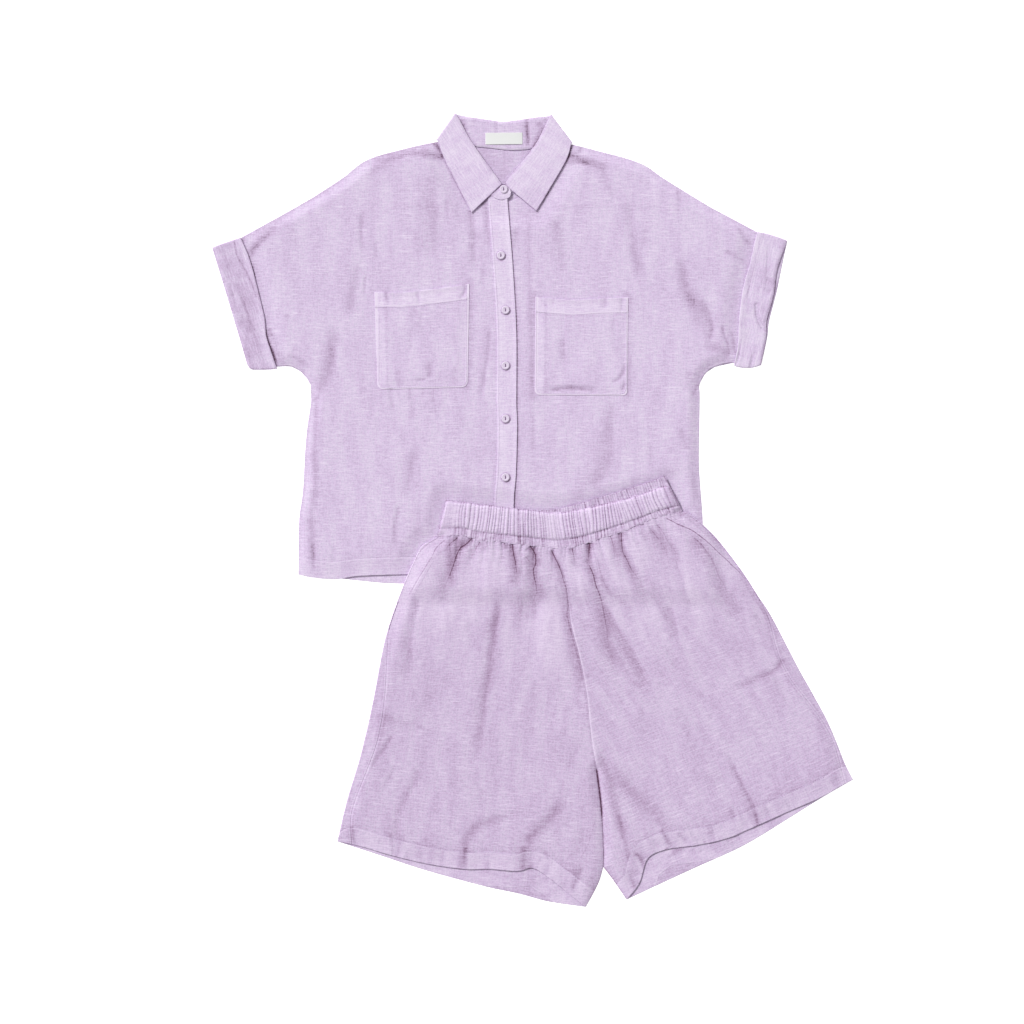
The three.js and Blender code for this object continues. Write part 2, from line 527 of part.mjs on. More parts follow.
/** The part of a leg outside its side seam, where the back is folded over to the front. */
const beyondSeam = (leg, side, gap) => {
  const seam = moved(curve(leg.seam, 2), -side * gap, 0);
  return prism([...seam, new THREE.Vector2(side * 450, -400), new THREE.Vector2(side * 450, leg.seam[0].y)], -10, 60);
};

function legFront(leg, side) {
  const top = sheet(legOutline(leg, side, leg.frontHem), legFrontUnder, WALL, SHORTS_CELL);
  return top.subtract(beyondSeam(leg, side, GAP));
}

/** A leg's lower layer: a wall over the ground's own few planes, whose corners follow the shirt's edges. */
function legUnder(leg, side) {
  const [flat, floor] = BEYOND_HEM;
  const [level, foot] = BESIDE_PLACKET;
  const xs = [-500, -foot, -level, level, foot, SHIRT_SIDE + flat, SHIRT_SIDE + floor, 700];
  const ys = [-600, -floor, -flat, 400];
  const point = (lift) => (i, j) => {
    const { x, y } = fromShirt(xs[i], ys[j]);
    return [x, y, ground(x, y) + lift];
  };
  const slab = wallOf(xs.length - 1, ys.length - 1, point(0), point(WALL));
  return slab.intersect(prism(legOutline(leg, side, leg.backHem), -10, 60));
}

/** A leg's back: its lower layer, the narrow strip folded over to the front, and the fold itself. */
function legBack(leg, side) {
  const outer = straight(leg.outer);
  const rim = [...outer, ...moved(outer, -side * 1.4, 0).toReversed()];
  const strip = sheet(legOutline(leg, side, leg.frontHem), legFrontUnder, WALL, SHORTS_CELL);
  const fold = sheet(rim, ground, (x, y) => legFrontUnder(x, y) + WALL - ground(x, y), SHORTS_CELL);
  const outside = beyondSeam(leg, side, 0);
  return wasm.Manifold.union([legUnder(leg, side), strip.intersect(outside), fold.intersect(outside)]);
}

/** The waistband's back, plain because the front covers most of it. */
function waistbandBack() {
  const heights = (across, up, x, y) => [ground(x, y), ground(x, y) + BAND_WALL];
  return band(BAND_BOTTOM, BAND_TOP_BACK, GATHERS, 1, heights);
}

/** The waistband's front, with its elastic's gathers as ridges that die out at its smooth ends. */
function waistbandFront() {
  const heights = (across, up, x, y) => {
    const low = ground(x, y) + BAND_WALL + 2 * GAP;
    const held = smoothstep(across, 0.03, 0.1) * (1 - smoothstep(across, 0.93, 0.99));
    const ridge = GATHER_RISE * held * Math.cos(2 * Math.PI * GATHERS * across);
    return [low, low + BAND_WALL * (1 - 0.45 * (2 * up - 1) ** 4) + ridge];
  };
  return band(BAND_BOTTOM, BAND_TOP_FRONT, 2 * GATHERS, 3, heights);
}

// ---------------------------------------------------------------- the set
const LINEN = { color: 0xdac8e5, roughness: 0.92, metalness: 0 };
const LINEN_SHORTS = { color: 0xd0bbda, roughness: 0.92, metalness: 0 };
const WOVEN_LABEL = { color: 0xdddde0, roughness: 0.7, metalness: 0 };
const PEARL = { color: 0xe9e0ef, roughness: 0.35, metalness: 0 };

/** A named mesh of a solid, in its finish. */
function piece(name, solid, finish) {
  const { numProp, numVert, vertProperties, triVerts } = solid.getMesh();
  const positions = new Float32Array(3 * numVert);
  for (let i = 0; i < numVert; i++) positions.set(vertProperties.subarray(i * numProp, i * numProp + 3), 3 * i);
  const geometry = new THREE.BufferGeometry();
  geometry.setAttribute("position", new THREE.BufferAttribute(positions, 3));
  geometry.setIndex(new THREE.BufferAttribute(triVerts, 1));
  geometry.computeVertexNormals();
  const mesh = new THREE.Mesh(geometry, new THREE.MeshStandardMaterial({ ...finish, flatShading: true }));
  mesh.name = name;
  return mesh;
}

const shirt = new THREE.Group();
shirt.add(
  piece("shirt_back", shirtBack(), LINEN),
  piece("back_yoke", backYoke(), LINEN),
  piece("front_right", frontRight(), LINEN),
  piece("front_left", frontLeft(), LINEN),
  piece("placket_right", placket(), LINEN),
  piece("pocket_right", pocket(POCKET_RIGHT), LINEN),
  piece("pocket_left", pocket(POCKET_LEFT), LINEN),
  piece("cuff_right", cuff(CUFF_RIGHT), LINEN),
  piece("cuff_left", cuff(CUFF_LEFT), LINEN),
  piece("collar_stand", collarStand(), LINEN),
  piece("collar", collar(), LINEN),
  piece("neck_label", neckLabel(), WOVEN_LABEL),
);
BUTTON_PLACES.forEach((place, i) => {
  const mesh = piece(`button_${i + 1}`, button(), PEARL);
  mesh.position.set(place.x, place.y, buttonSeat(place, i === 0));
  shirt.add(mesh);
});

const shorts = new THREE.Group();
shorts.add(
  piece("shorts_back_right", legBack(LEG_RIGHT, -1), LINEN_SHORTS),
  piece("shorts_back_left", legBack(LEG_LEFT, 1), LINEN_SHORTS),
  piece("shorts_front_right", legFront(LEG_RIGHT, -1), LINEN_SHORTS),
  piece("shorts_front_left", legFront(LEG_LEFT, 1), LINEN_SHORTS),
  piece("waistband_back", waistbandBack(), LINEN_SHORTS),
  piece("waistband_front", waistbandFront(), LINEN_SHORTS),
);
shorts.position.copy(SHORTS_PLACE);
shorts.rotation.z = SHORTS_TURN;

const set = new THREE.Group();
set.add(shirt, shorts);
set.updateMatrixWorld(true);
const bounds = new THREE.Box3().setFromObject(set, true);
const centre = bounds.getCenter(new THREE.Vector3());
set.position.set(-centre.x, -centre.y, -bounds.min.z);

export default set;
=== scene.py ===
"""Lilac linen shirt and shorts laid flat and face up, the shorts over the shirt's lower hem.

Each garment is drawn in its own plane in millimetres: the shirt from its line of buttons and its back
hem, the shorts from the middle of their waist seam. A Layout turns that plane into the row's frame.
"""
import logging
import math
from collections.abc import Callable, Iterable
from dataclasses import dataclass, field, replace
from enum import Enum
from functools import reduce
from typing import ClassVar

import bpy
import numpy as np
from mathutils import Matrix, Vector


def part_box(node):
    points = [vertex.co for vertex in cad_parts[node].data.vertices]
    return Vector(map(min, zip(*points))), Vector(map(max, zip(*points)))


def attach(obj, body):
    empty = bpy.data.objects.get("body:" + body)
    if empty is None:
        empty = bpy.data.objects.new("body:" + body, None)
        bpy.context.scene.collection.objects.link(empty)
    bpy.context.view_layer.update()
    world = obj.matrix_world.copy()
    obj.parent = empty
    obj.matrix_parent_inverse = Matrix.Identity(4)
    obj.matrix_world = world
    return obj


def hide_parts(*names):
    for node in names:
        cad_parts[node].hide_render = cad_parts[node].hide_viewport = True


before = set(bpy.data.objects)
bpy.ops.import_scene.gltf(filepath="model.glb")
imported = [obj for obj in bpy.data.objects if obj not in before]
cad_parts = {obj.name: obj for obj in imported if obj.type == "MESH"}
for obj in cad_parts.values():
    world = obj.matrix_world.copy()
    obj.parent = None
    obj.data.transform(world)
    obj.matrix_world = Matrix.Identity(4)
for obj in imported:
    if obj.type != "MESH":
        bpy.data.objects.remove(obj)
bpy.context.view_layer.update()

MM = 0.001
LATTICE = 97  # corners of the noise lattice before it repeats

Array = np.ndarray
Points = tuple[tuple[float, float], ...]
Field = Callable[[Array, Array], Array]
Material = bpy.types.Material
Piece = bpy.types.Object


class Side(Enum):
    """The wearer's side; the value is the sign of x there."""

    RIGHT = -1
    LEFT = 1


# ---------------------------------------------------------------- the shirt's lines
SHOULDER = {
    Side.RIGHT: ((-65, 577), (-92, 575), (-133, 566), (-180, 552), (-211, 529), (-249, 504)),
    Side.LEFT: ((63, 576), (92, 571), (127, 562), (154, 555), (181, 545), (204, 529), (241, 506)),
}
SLEEVE_TOP = {
    Side.RIGHT: ((-249, 504), (-296, 477), (-342, 450), (-378, 438)),
    Side.LEFT: ((241, 506), (271, 488), (304, 470), (325, 457), (343, 452), (363.5, 446)),
}
SLEEVE_END = {
    Side.RIGHT: ((-330, 282), (-340, 306), (-360, 373), (-378, 438)),
    Side.LEFT: ((331, 288), (338, 322), (339, 344), (347, 378), (351, 410), (363.5, 446)),
}
UNDERARM = {
    Side.RIGHT: ((-330, 282), (-297, 284), (-278, 284), (-262, 274), (-253, 260)),
    Side.LEFT: ((331, 288), (310, 288.5), (290, 288.5), (268, 282), (256, 270), (251, 258)),
}
SIDE_SEAM = {
    Side.RIGHT: ((-269, 14), (-268, 83), (-263, 123), (-259, 190), (-252, 242), (-253, 260)),
    Side.LEFT: ((257, 10), (256, 81), (253, 125), (251, 162), (252, 242), (251, 258)),
}
NECK = {
    Side.RIGHT: ((-65, 577), (-57, 550), (-38, 519), (-14, 499)),
    Side.LEFT: ((-14, 499), (8, 499), (36, 519), (55, 550), (63, 576)),
}
BACK_NECK = ((-65, 577), (-41, 570), (-19, 567.5), (2, 565), (18, 565), (39, 568), (63, 576))
FRONT_HEM = {
    Side.RIGHT: ((-269, 14), (-249, 10), (-220, 8), (-190, 12), (-125, 14), (-6, 14)),
    Side.LEFT: ((-6, 14), (120, 12), (257, 10)),
}
BACK_HEM = ((-269, 12), (-220, 7.5), (-190, 4), (-132, 0), (0, 2), (140, 4), (257, 8))
PLACKET_LINE = ((-2, 14), (-2, 104), (1, 146), (2.5, 205), (1.5, 240), (1.5, 326), (-3, 410), (-10, 499))
POCKET = {
    Side.RIGHT: ((-166, 254), (-49, 257), (-47, 391), (-79, 386), (-132, 380), (-170, 380)),
    Side.LEFT: ((38, 247), (158, 246), (159, 373), (122, 372), (87, 370), (39, 374)),
}
BUTTON_PLACES = ((-2.4, 514), (-6, 428), (0, 357), (0, 285), (0, 216), (0, 140))

CUFF_HAND = {
    Side.RIGHT: ((-381, 438.5), (-361, 373), (-341, 306), (-335, 286), (-330, 280)),
    Side.LEFT: ((366, 447.5), (353, 410), (348.5, 378), (339.5, 344), (338.5, 322), (332, 286)),
}
CUFF_HAND_BACK = {
    Side.RIGHT: CUFF_HAND[Side.RIGHT],
    Side.LEFT: ((366, 447.5), (358, 409), (352, 380), (342.5, 343), (340, 322), (332, 286)),
}
CUFF_FREE = {
    Side.RIGHT: ((-344, 451.5), (-332, 422), (-320, 377), (-313, 347), (-311, 326), (-306, 308), (-297, 281)),
    Side.LEFT: ((327, 459), (322.5, 440), (318, 419), (310.5, 393), (306, 369), (303, 338), (302, 312),
                (297, 285)),
}
CUFF_STITCHED = {
    Side.RIGHT: ((-352, 446), (-350, 433), (-346.5, 424), (-336, 405.6), (-329, 390), (-323.5, 374)),
    Side.LEFT: ((331, 450), (325, 425), (316.6, 387.4), (310.7, 369.2), (306.8, 338), (305.5, 312),
                (301.6, 286)),
}

LEAF_OUTER = {
    Side.RIGHT: ((-44, 484), (-78, 551), (-90, 579)),
    Side.LEFT: ((40, 486), (55, 511), (80, 554), (87, 575)),
}
LEAF_ROLL = {
    Side.RIGHT: ((-5, 521), (-41, 571), (-66, 613)),
    Side.LEFT: ((2, 518), (3, 527), (37, 569), (60, 611)),
}
FALL_EDGE = ((-90, 579), (-65, 577.5), (-41, 570.5), (-19, 568), (2, 565.5), (18, 565.5), (39, 568.5),
             (87, 575))
ROLL_BACK = ((-66, 613), (-45, 608), (-19, 604), (-3, 602), (15, 604), (46, 609), (60, 611))
STAND_SEAM = {
    Side.RIGHT: ((7, 509.5), (4, 503), (-12, 502), (-36, 522), (-55, 552), (-62, 578)),
    Side.LEFT: ((8, 511), (34, 522), (53, 552), (60, 578)),
}
STAND_ROLL = {
    Side.RIGHT: ((7, 511.5), (3, 520), (-5, 520), (-22, 545), (-43, 573), (-62, 607)),
    Side.LEFT: ((8, 529), (14, 539), (38, 572), (57, 605)),
}

# ---------------------------------------------------------------- the shorts' lines
BAND_TOP_FRONT = ((-136, 80), (-114, 74), (-73, 64), (-24, 52), (15, 46), (88, 52), (153, 64))
BAND_TOP_BACK = ((-135, 77), (-73, 62), (-24, 52), (15, 51), (77, 61), (116, 68), (149, 75))
BAND_BOTTOM = ((-154, 34), (-124, 32), (-103, 24), (-66, 15), (-32, 7), (0, 0), (32, 1), (70, 8), (109, 17),
               (135, 24), (166, 28))
WAIST = {
    Side.RIGHT: ((-153.5, 33.4), (-124, 31.6), (-103, 23.6), (-66, 14.6), (-32, 6.6), (-9, 1)),
    Side.LEFT: ((-9, 1), (32, 0.6), (70, 7.6), (109, 16.6), (135, 23.6), (165.5, 27.4)),
}
CENTRE_SEAM = ((15, -293), (13, -250), (14, -193), (11, -147), (5, -99), (4, -40), (-9, 1))
LEG_GAP = ((8, -418), (11, -398), (15, -339), (15, -293))
LEG_INNER = {
    Side.RIGHT: ((-21, -467), (-10, -452), (1, -435), (8, -418)),
    Side.LEFT: ((33, -464), (19, -437), (8, -418)),
}
LEG_OUTER = {
    Side.RIGHT: ((-331, -343), (-312, -292), (-287, -235), (-263, -169), (-243, -106), (-228, -68),
                 (-205, -23), (-184, 12), (-174, 25), (-153.5, 33.4)),
    Side.LEFT: ((344, -345), (336, -323), (329, -296), (320, -265), (306, -229), (290, -190), (265, -123),
                (250, -92), (234, -59), (210, -18), (191, 7), (173, 25), (165.5, 27.4)),
}
LEG_SEAM = {
    Side.RIGHT: ((-312, -349), (-311, -323), (-301, -293), (-265, -225), (-248, -171), (-238, -118),
                 (-229, -74), (-203.6, -25), (-182.6, 10.4), (-171, 22.8), (-153, 32.2)),
    Side.LEFT: ((333, -349), (326, -300), (316, -270), (297, -236), (278, -203), (267, -170), (260, -122),
                (248.4, -92), (232.6, -59.6), (208.8, -18.8), (190, 5.8), (172.6, 22.6), (165, 26.2)),
}
LEG_HEM = {
    Side.RIGHT: ((-312, -349.5), (-291, -358), (-263, -370), (-220, -386), (-172, -399), (-139, -403),
                 (-103, -410), (-82, -409), (-60, -427), (-21, -467)),
    Side.LEFT: ((33, -464), (52, -444), (66, -415), (90, -406), (134, -405), (173, -401), (214, -389),
                (267, -373), (300, -363), (333, -349.5)),
}
LEG_HEM_BACK = {
    Side.RIGHT: ((-331, -343), (-276, -369), (-221, -395), (-148, -425), (-105, -440), (-68, -455),
                 (-21, -468)),
    Side.LEFT: ((33, -464.5), (77, -450), (130, -433), (179, -418), (212, -405), (253, -386), (300, -364),
                (344, -345)),
}


# ---------------------------------------------------------------- curves and fields
def smooth(value: Array, low: float, high: float) -> Array:
    """Smoothstep: 0 up to low, 1 from high on, and 3t^2 - 2t^3 between."""
    t = np.clip((value - low) / (high - low), 0.0, 1.0)
    return t * t * (3.0 - 2.0 * t)


def bell(off: Array, reach: float | Array) -> Array:
    """A bell curve, exp(-(off / reach)^2)."""
    return np.exp(-((off / reach) ** 2))


def curve(points: Points, per_span: int = 8) -> Array:
    """A Catmull-Rom curve through the points, as a dense polyline.

    Each span is the usual cubic of its four nearest points, evaluated at even steps.

    Args:
        points: The points that it runs through.
        per_span: The steps between two points.

    Returns:
        The polyline, (steps + 1, 2).
    """
    p = np.asarray(points, float)
    if len(p) == 2:
        return p
    t = np.linspace(0.0, len(p) - 1.0, per_span * (len(p) - 1) + 1)
    i = np.minimum(t.astype(int), len(p) - 2)
    f = (t - i)[:, None]
    q = np.vstack([2 * p[0] - p[1], p, 2 * p[-1] - p[-2]])
    a, b, c, d = q[i], q[i + 1], q[i + 2], q[i + 3]
    return 0.5 * (2 * b + (c - a) * f + (2 * a - 5 * b + 4 * c - d) * f**2 + (3 * b - 3 * c + d - a) * f**3)


def travelled(line: Array) -> Array:
    """The length run along a polyline up to each of its points."""
    return np.concatenate([[0.0], np.cumsum(np.hypot(*np.diff(line, axis=0).T))])


def nearest(line: Array, x: Array, y: Array) -> tuple[Array, Array, Array]:
    """How points lie to a polyline, from the nearest point on any of its straight runs.

    Args:
        line: The polyline, (n, 2).
        x: Places across.
        y: Places up.

    Returns:
        The distance, the side (positive to the left of its course), and the share of its length there.
    """
    run = travelled(line)
    best = np.full(np.shape(x), np.inf)
    side = np.zeros(np.shape(x))
    share = np.zeros(np.shape(x))
    for a, b, at in zip(line[:-1], line[1:], run[:-1]):
        along = b - a
        square = float(along @ along) or 1.0
        s = np.clip(((x - a[0]) * along[0] + (y - a[1]) * along[1]) / square, 0.0, 1.0)
        dx, dy = x - a[0] - s * along[0], y - a[1] - s * along[1]
        distance = np.hypot(dx, dy)
        closer = distance < best
        best = np.where(closer, distance, best)
        side = np.where(closer, along[0] * dy - along[1] * dx, side)
        share = np.where(closer, (at + s * math.sqrt(square)) / run[-1], share)
    return best, side, share


def distance(line: Points | Array, x: Array, y: Array) -> Array:
    """The distance to a curve through the points."""
    return nearest(curve(line) if isinstance(line, tuple) else line, x, y)[0]


def lumps(x: Array, y: Array, cell: tuple[float, float], seed: int) -> Array:
    """Value noise from -1 to 1: random heights at the corners of cells, blended by smoothsteps.

    Args:
        x: Places across.
        y: Places up.
        cell: A cell's width and height.
        seed: Which noise.

    Returns:
        The noise.
    """
    heights = np.random.default_rng(seed).uniform(-1.0, 1.0, (LATTICE, LATTICE))
    i, j = np.floor(x / cell[0]).astype(int), np.floor(y / cell[1]).astype(int)
    u, v = smooth(x / cell[0] - i, 0.0, 1.0), smooth(y / cell[1] - j, 0.0, 1.0)

    def corner(a: int, b: int) -> Array:
        """The height at one corner of each point's cell."""
        return heights[(i + a) % LATTICE, (j + b) % LATTICE]

    low = (1 - u) * corner(0, 0) + u * corner(1, 0)
    high = (1 - u) * corner(0, 1) + u * corner(1, 1)
    return (1 - v) * low + v * high


@dataclass(frozen=True)
class Crease:
    """A fold of cloth along a curve, in millimetres: a bell across it, which widens and fades along it."""

    line: Points
    rise: float  # negative for a trough
    west: float  # reach of the flank on the right of its course, the viewer's left of one that runs down
    east: float
    widen: float = 1.5  # reach at its end over that at its start
    keep: float = 0.35  # share of the rise that is left near its end
    start: float = 0.15  # share of its length over which it grows

    def height(self, x: Array, y: Array) -> Array:
        """rise * exp(-(distance / reach)^2), times its fading along the curve.

        Args:
            x: Places across.
            y: Places up.

        Returns:
            The height.
        """
        line = curve(self.line)
        reach = 3.5 * max(self.west, self.east) * max(1.0, self.widen)
        low, high = line.min(axis=0) - reach, line.max(axis=0) + reach
        near = (x > low[0]) & (x < high[0]) & (y > low[1]) & (y < high[1])
        out = np.zeros(np.shape(x))
        away, side, share = nearest(line, x[near], y[near])
        flank = np.where(side > 0, self.east, self.west) * (1.0 + (self.widen - 1.0) * share)
        out[near] = self.rise * self.fading(share) * bell(away, flank)
        return out

    def fading(self, share: Array) -> Array:
        """How much of the rise is there at a share of its length."""
        grown = smooth(share, 0.0, self.start) if self.start > 0 else 1.0
        return grown * (1.0 - (1.0 - self.keep) * share) * (1.0 - smooth(share, 0.75, 1.0))


def total(creases: Iterable[Crease], x: Array, y: Array) -> Array:
    """The sum of the creases' heights."""
    return sum((crease.height(x, y) for crease in creases), np.zeros(np.shape(x)))


def nearest_line(creases: Iterable[Crease], x: Array, y: Array) -> tuple[Array, Array]:
    """How far the nearest crease's line is, negative on one side of it, and how dark its painted shade is
    there.

    A finish draws the line as painted shade where the signed distance runs through 0, so that it stays thin
    between the points of a mesh.

    Args:
        creases: The thin lines.
        x: Places across.
        y: Places up.

    Returns:
        The signed distance, at most 6, and the darkness.
    """
    off, dark = np.full(np.shape(x), 6.0), np.zeros(np.shape(x))
    for crease in creases:
        line = curve(crease.line)
        low, high = line.min(axis=0) - 4.0, line.max(axis=0) + 4.0
        near = (x > low[0]) & (x < high[0]) & (y > low[1]) & (y < high[1])
        away, side, share = nearest(line, x[near], y[near])
        closer = away < np.minimum(np.abs(off[near]), 3.5)
        off[near] = np.where(closer, np.where(side > 0, away, -away), off[near])
        dark[near] = np.where(closer, np.maximum(-crease.rise * crease.fading(share), 0.0), dark[near])
    return off, dark


@dataclass(frozen=True)
class Wrinkles:
    """Small wrinkles scattered over a panel, mostly along its warp."""

    seed: int
    count: int
    low: tuple[float, float]
    high: tuple[float, float]
    rise: float = 0.5
    lean: float = 0.25  # spread of their angle from the warp, in radians
    turn: float = 0.0  # angle of the warp from upright

    def creases(self) -> list[Crease]:
        """Troughs and ridges at seeded places, 20 to 70 mm long and 2 to 6 mm wide.

        Returns:
            The wrinkles.
        """
        rng = np.random.default_rng(self.seed)
        made = []
        for _ in range(self.count):
            x, y = rng.uniform(self.low, self.high)
            angle = self.turn + rng.normal(0.0, self.lean)
            half = rng.uniform(10.0, 34.0)
            bow = rng.normal(0.0, 2.5)
            dx, dy = half * math.sin(angle), half * math.cos(angle)
            line = ((x - dx, y + dy), (x + bow, y + 0.2 * bow), (x + dx, y - dy))
            rise = self.rise * rng.uniform(-1.0, 0.7)
            west, east = rng.uniform(1.8, 5.5, 2)
            made.append(Crease(line, rise, west, east, 1.2, 0.7, 0.3))
        return made


# ---------------------------------------------------------------- patches and walls
@dataclass(frozen=True)
class Edge:
    """One side of a patch, as a function of t from 0 to 1; its corners fall on whole steps."""

    t: Array
    points: Array
    corners: tuple[float, ...]

    @classmethod
    def of(cls, steps: int, *runs: Points) -> "Edge":
        """Joins curves end to end and shares the steps among them by their length.

        Args:
            steps: The patch's steps along this side.
            *runs: The curves, each smooth inside and free to turn where it meets the next.

        Returns:
            The side.
        """
        lines = [curve(run) for run in runs]
        lengths = [travelled(line)[-1] for line in lines]
        corners = np.round(np.cumsum(lengths) / sum(lengths) * steps) / steps
        t, points, start = [], [], 0.0
        for line, end in zip(lines, corners):
            run = travelled(line)
            t.append(start + (end - start) * run / run[-1])
            points.append(line)
            start = float(end)
        return cls(np.concatenate(t), np.concatenate(points), tuple(float(c) for c in corners))

    def __call__(self, t: Array) -> Array:
        """The points at t."""
        return np.stack([np.interp(t, self.t, self.points[:, k]) for k in (0, 1)], axis=-1)


def stops(steps: int, length: float, rim: float = 0.5) -> Array:
    """Even steps from 0 to 1, with one more line close to each end so that edges shade crisply."""
    close = rim / length
    return np.concatenate([[0.0, close], np.arange(1, steps) / steps, [1.0 - close, 1.0]])


def patch(bottom: Edge, right: Edge, top: Edge, left: Edge, u: Array, v: Array) -> Array:
    """A Coons patch: the two ruled surfaces between opposite sides, less the one between the corners.

    Args:
        bottom: The side from left to right at v 0.
        right: The side upwards at u 1.
        top: The side from left to right at v 1.
        left: The side upwards at u 0.
        u: Stops across.
        v: Stops upwards.

    Returns:
        The points, (rows, columns, 2).
    """
    low, high = bottom(u)[None], top(u)[None]
    start, end = left(v)[:, None], right(v)[:, None]
    a, b = u[None, :, None], v[:, None, None]
    ruled = (1 - b) * low + b * high + (1 - a) * start + a * end
    ends = (1 - b) * ((1 - a) * low[:, :1] + a * low[:, -1:]) + b * ((1 - a) * high[:, :1] + a * high[:, -1:])
    return ruled - ends


@dataclass
class Grid:
    """A stretch of a cloth's face: points in millimetres, and what its finish follows over them.

    Columns run to the right and rows upwards, seen from the face.
    """

    points: Array  # (rows, columns, 3)
    grain: Array  # (rows, columns, 2): along the weft and along the warp
    edges: Array  # (rows, columns, 2): past the edge of a doubled area, and away from a seam
    tone: Array  # (rows, columns): paler or darker cloth, much of it painted shade
    line: Array  # (rows, columns, 2): past a thin line of painted shade, and how dark it is


@dataclass(frozen=True)
class Cloth:
    """What a flat panel is laid by: its face's height and the fields of its finish."""

    top: Field
    doubled: Field = field(default=lambda x, y: np.full(np.shape(x), 50.0))
    seam: Field = field(default=lambda x, y: np.full(np.shape(x), 50.0))
    tone: Field = field(default=lambda x, y: np.zeros(np.shape(x)))
    grain: Callable[[Array, Array], tuple[Array, Array]] = field(default=lambda x, y: (x, y))
    lines: tuple[Crease, ...] = ()

    def lay(self, flat: Array) -> Grid:
        """The grid over flat places, (rows, columns, 2)."""
        x, y = flat[..., 0], flat[..., 1]
        return self.shape(np.stack([x, y, self.top(x, y)], axis=-1))

    def shape(self, points: Array) -> Grid:
        """The grid of points in space, (rows, columns, 3), with the fields at their places.

        Args:
            points: The points.

        Returns:
            The grid.
        """
        x, y = points[..., 0], points[..., 1]
        edges = np.stack([np.clip(self.doubled(x, y), -50, 50), np.clip(self.seam(x, y), 0, 50)], axis=-1)
        line = np.stack(nearest_line(self.lines, x, y), axis=-1)
        return Grid(points, np.stack(self.grain(x, y), axis=-1), edges, self.tone(x, y), line)


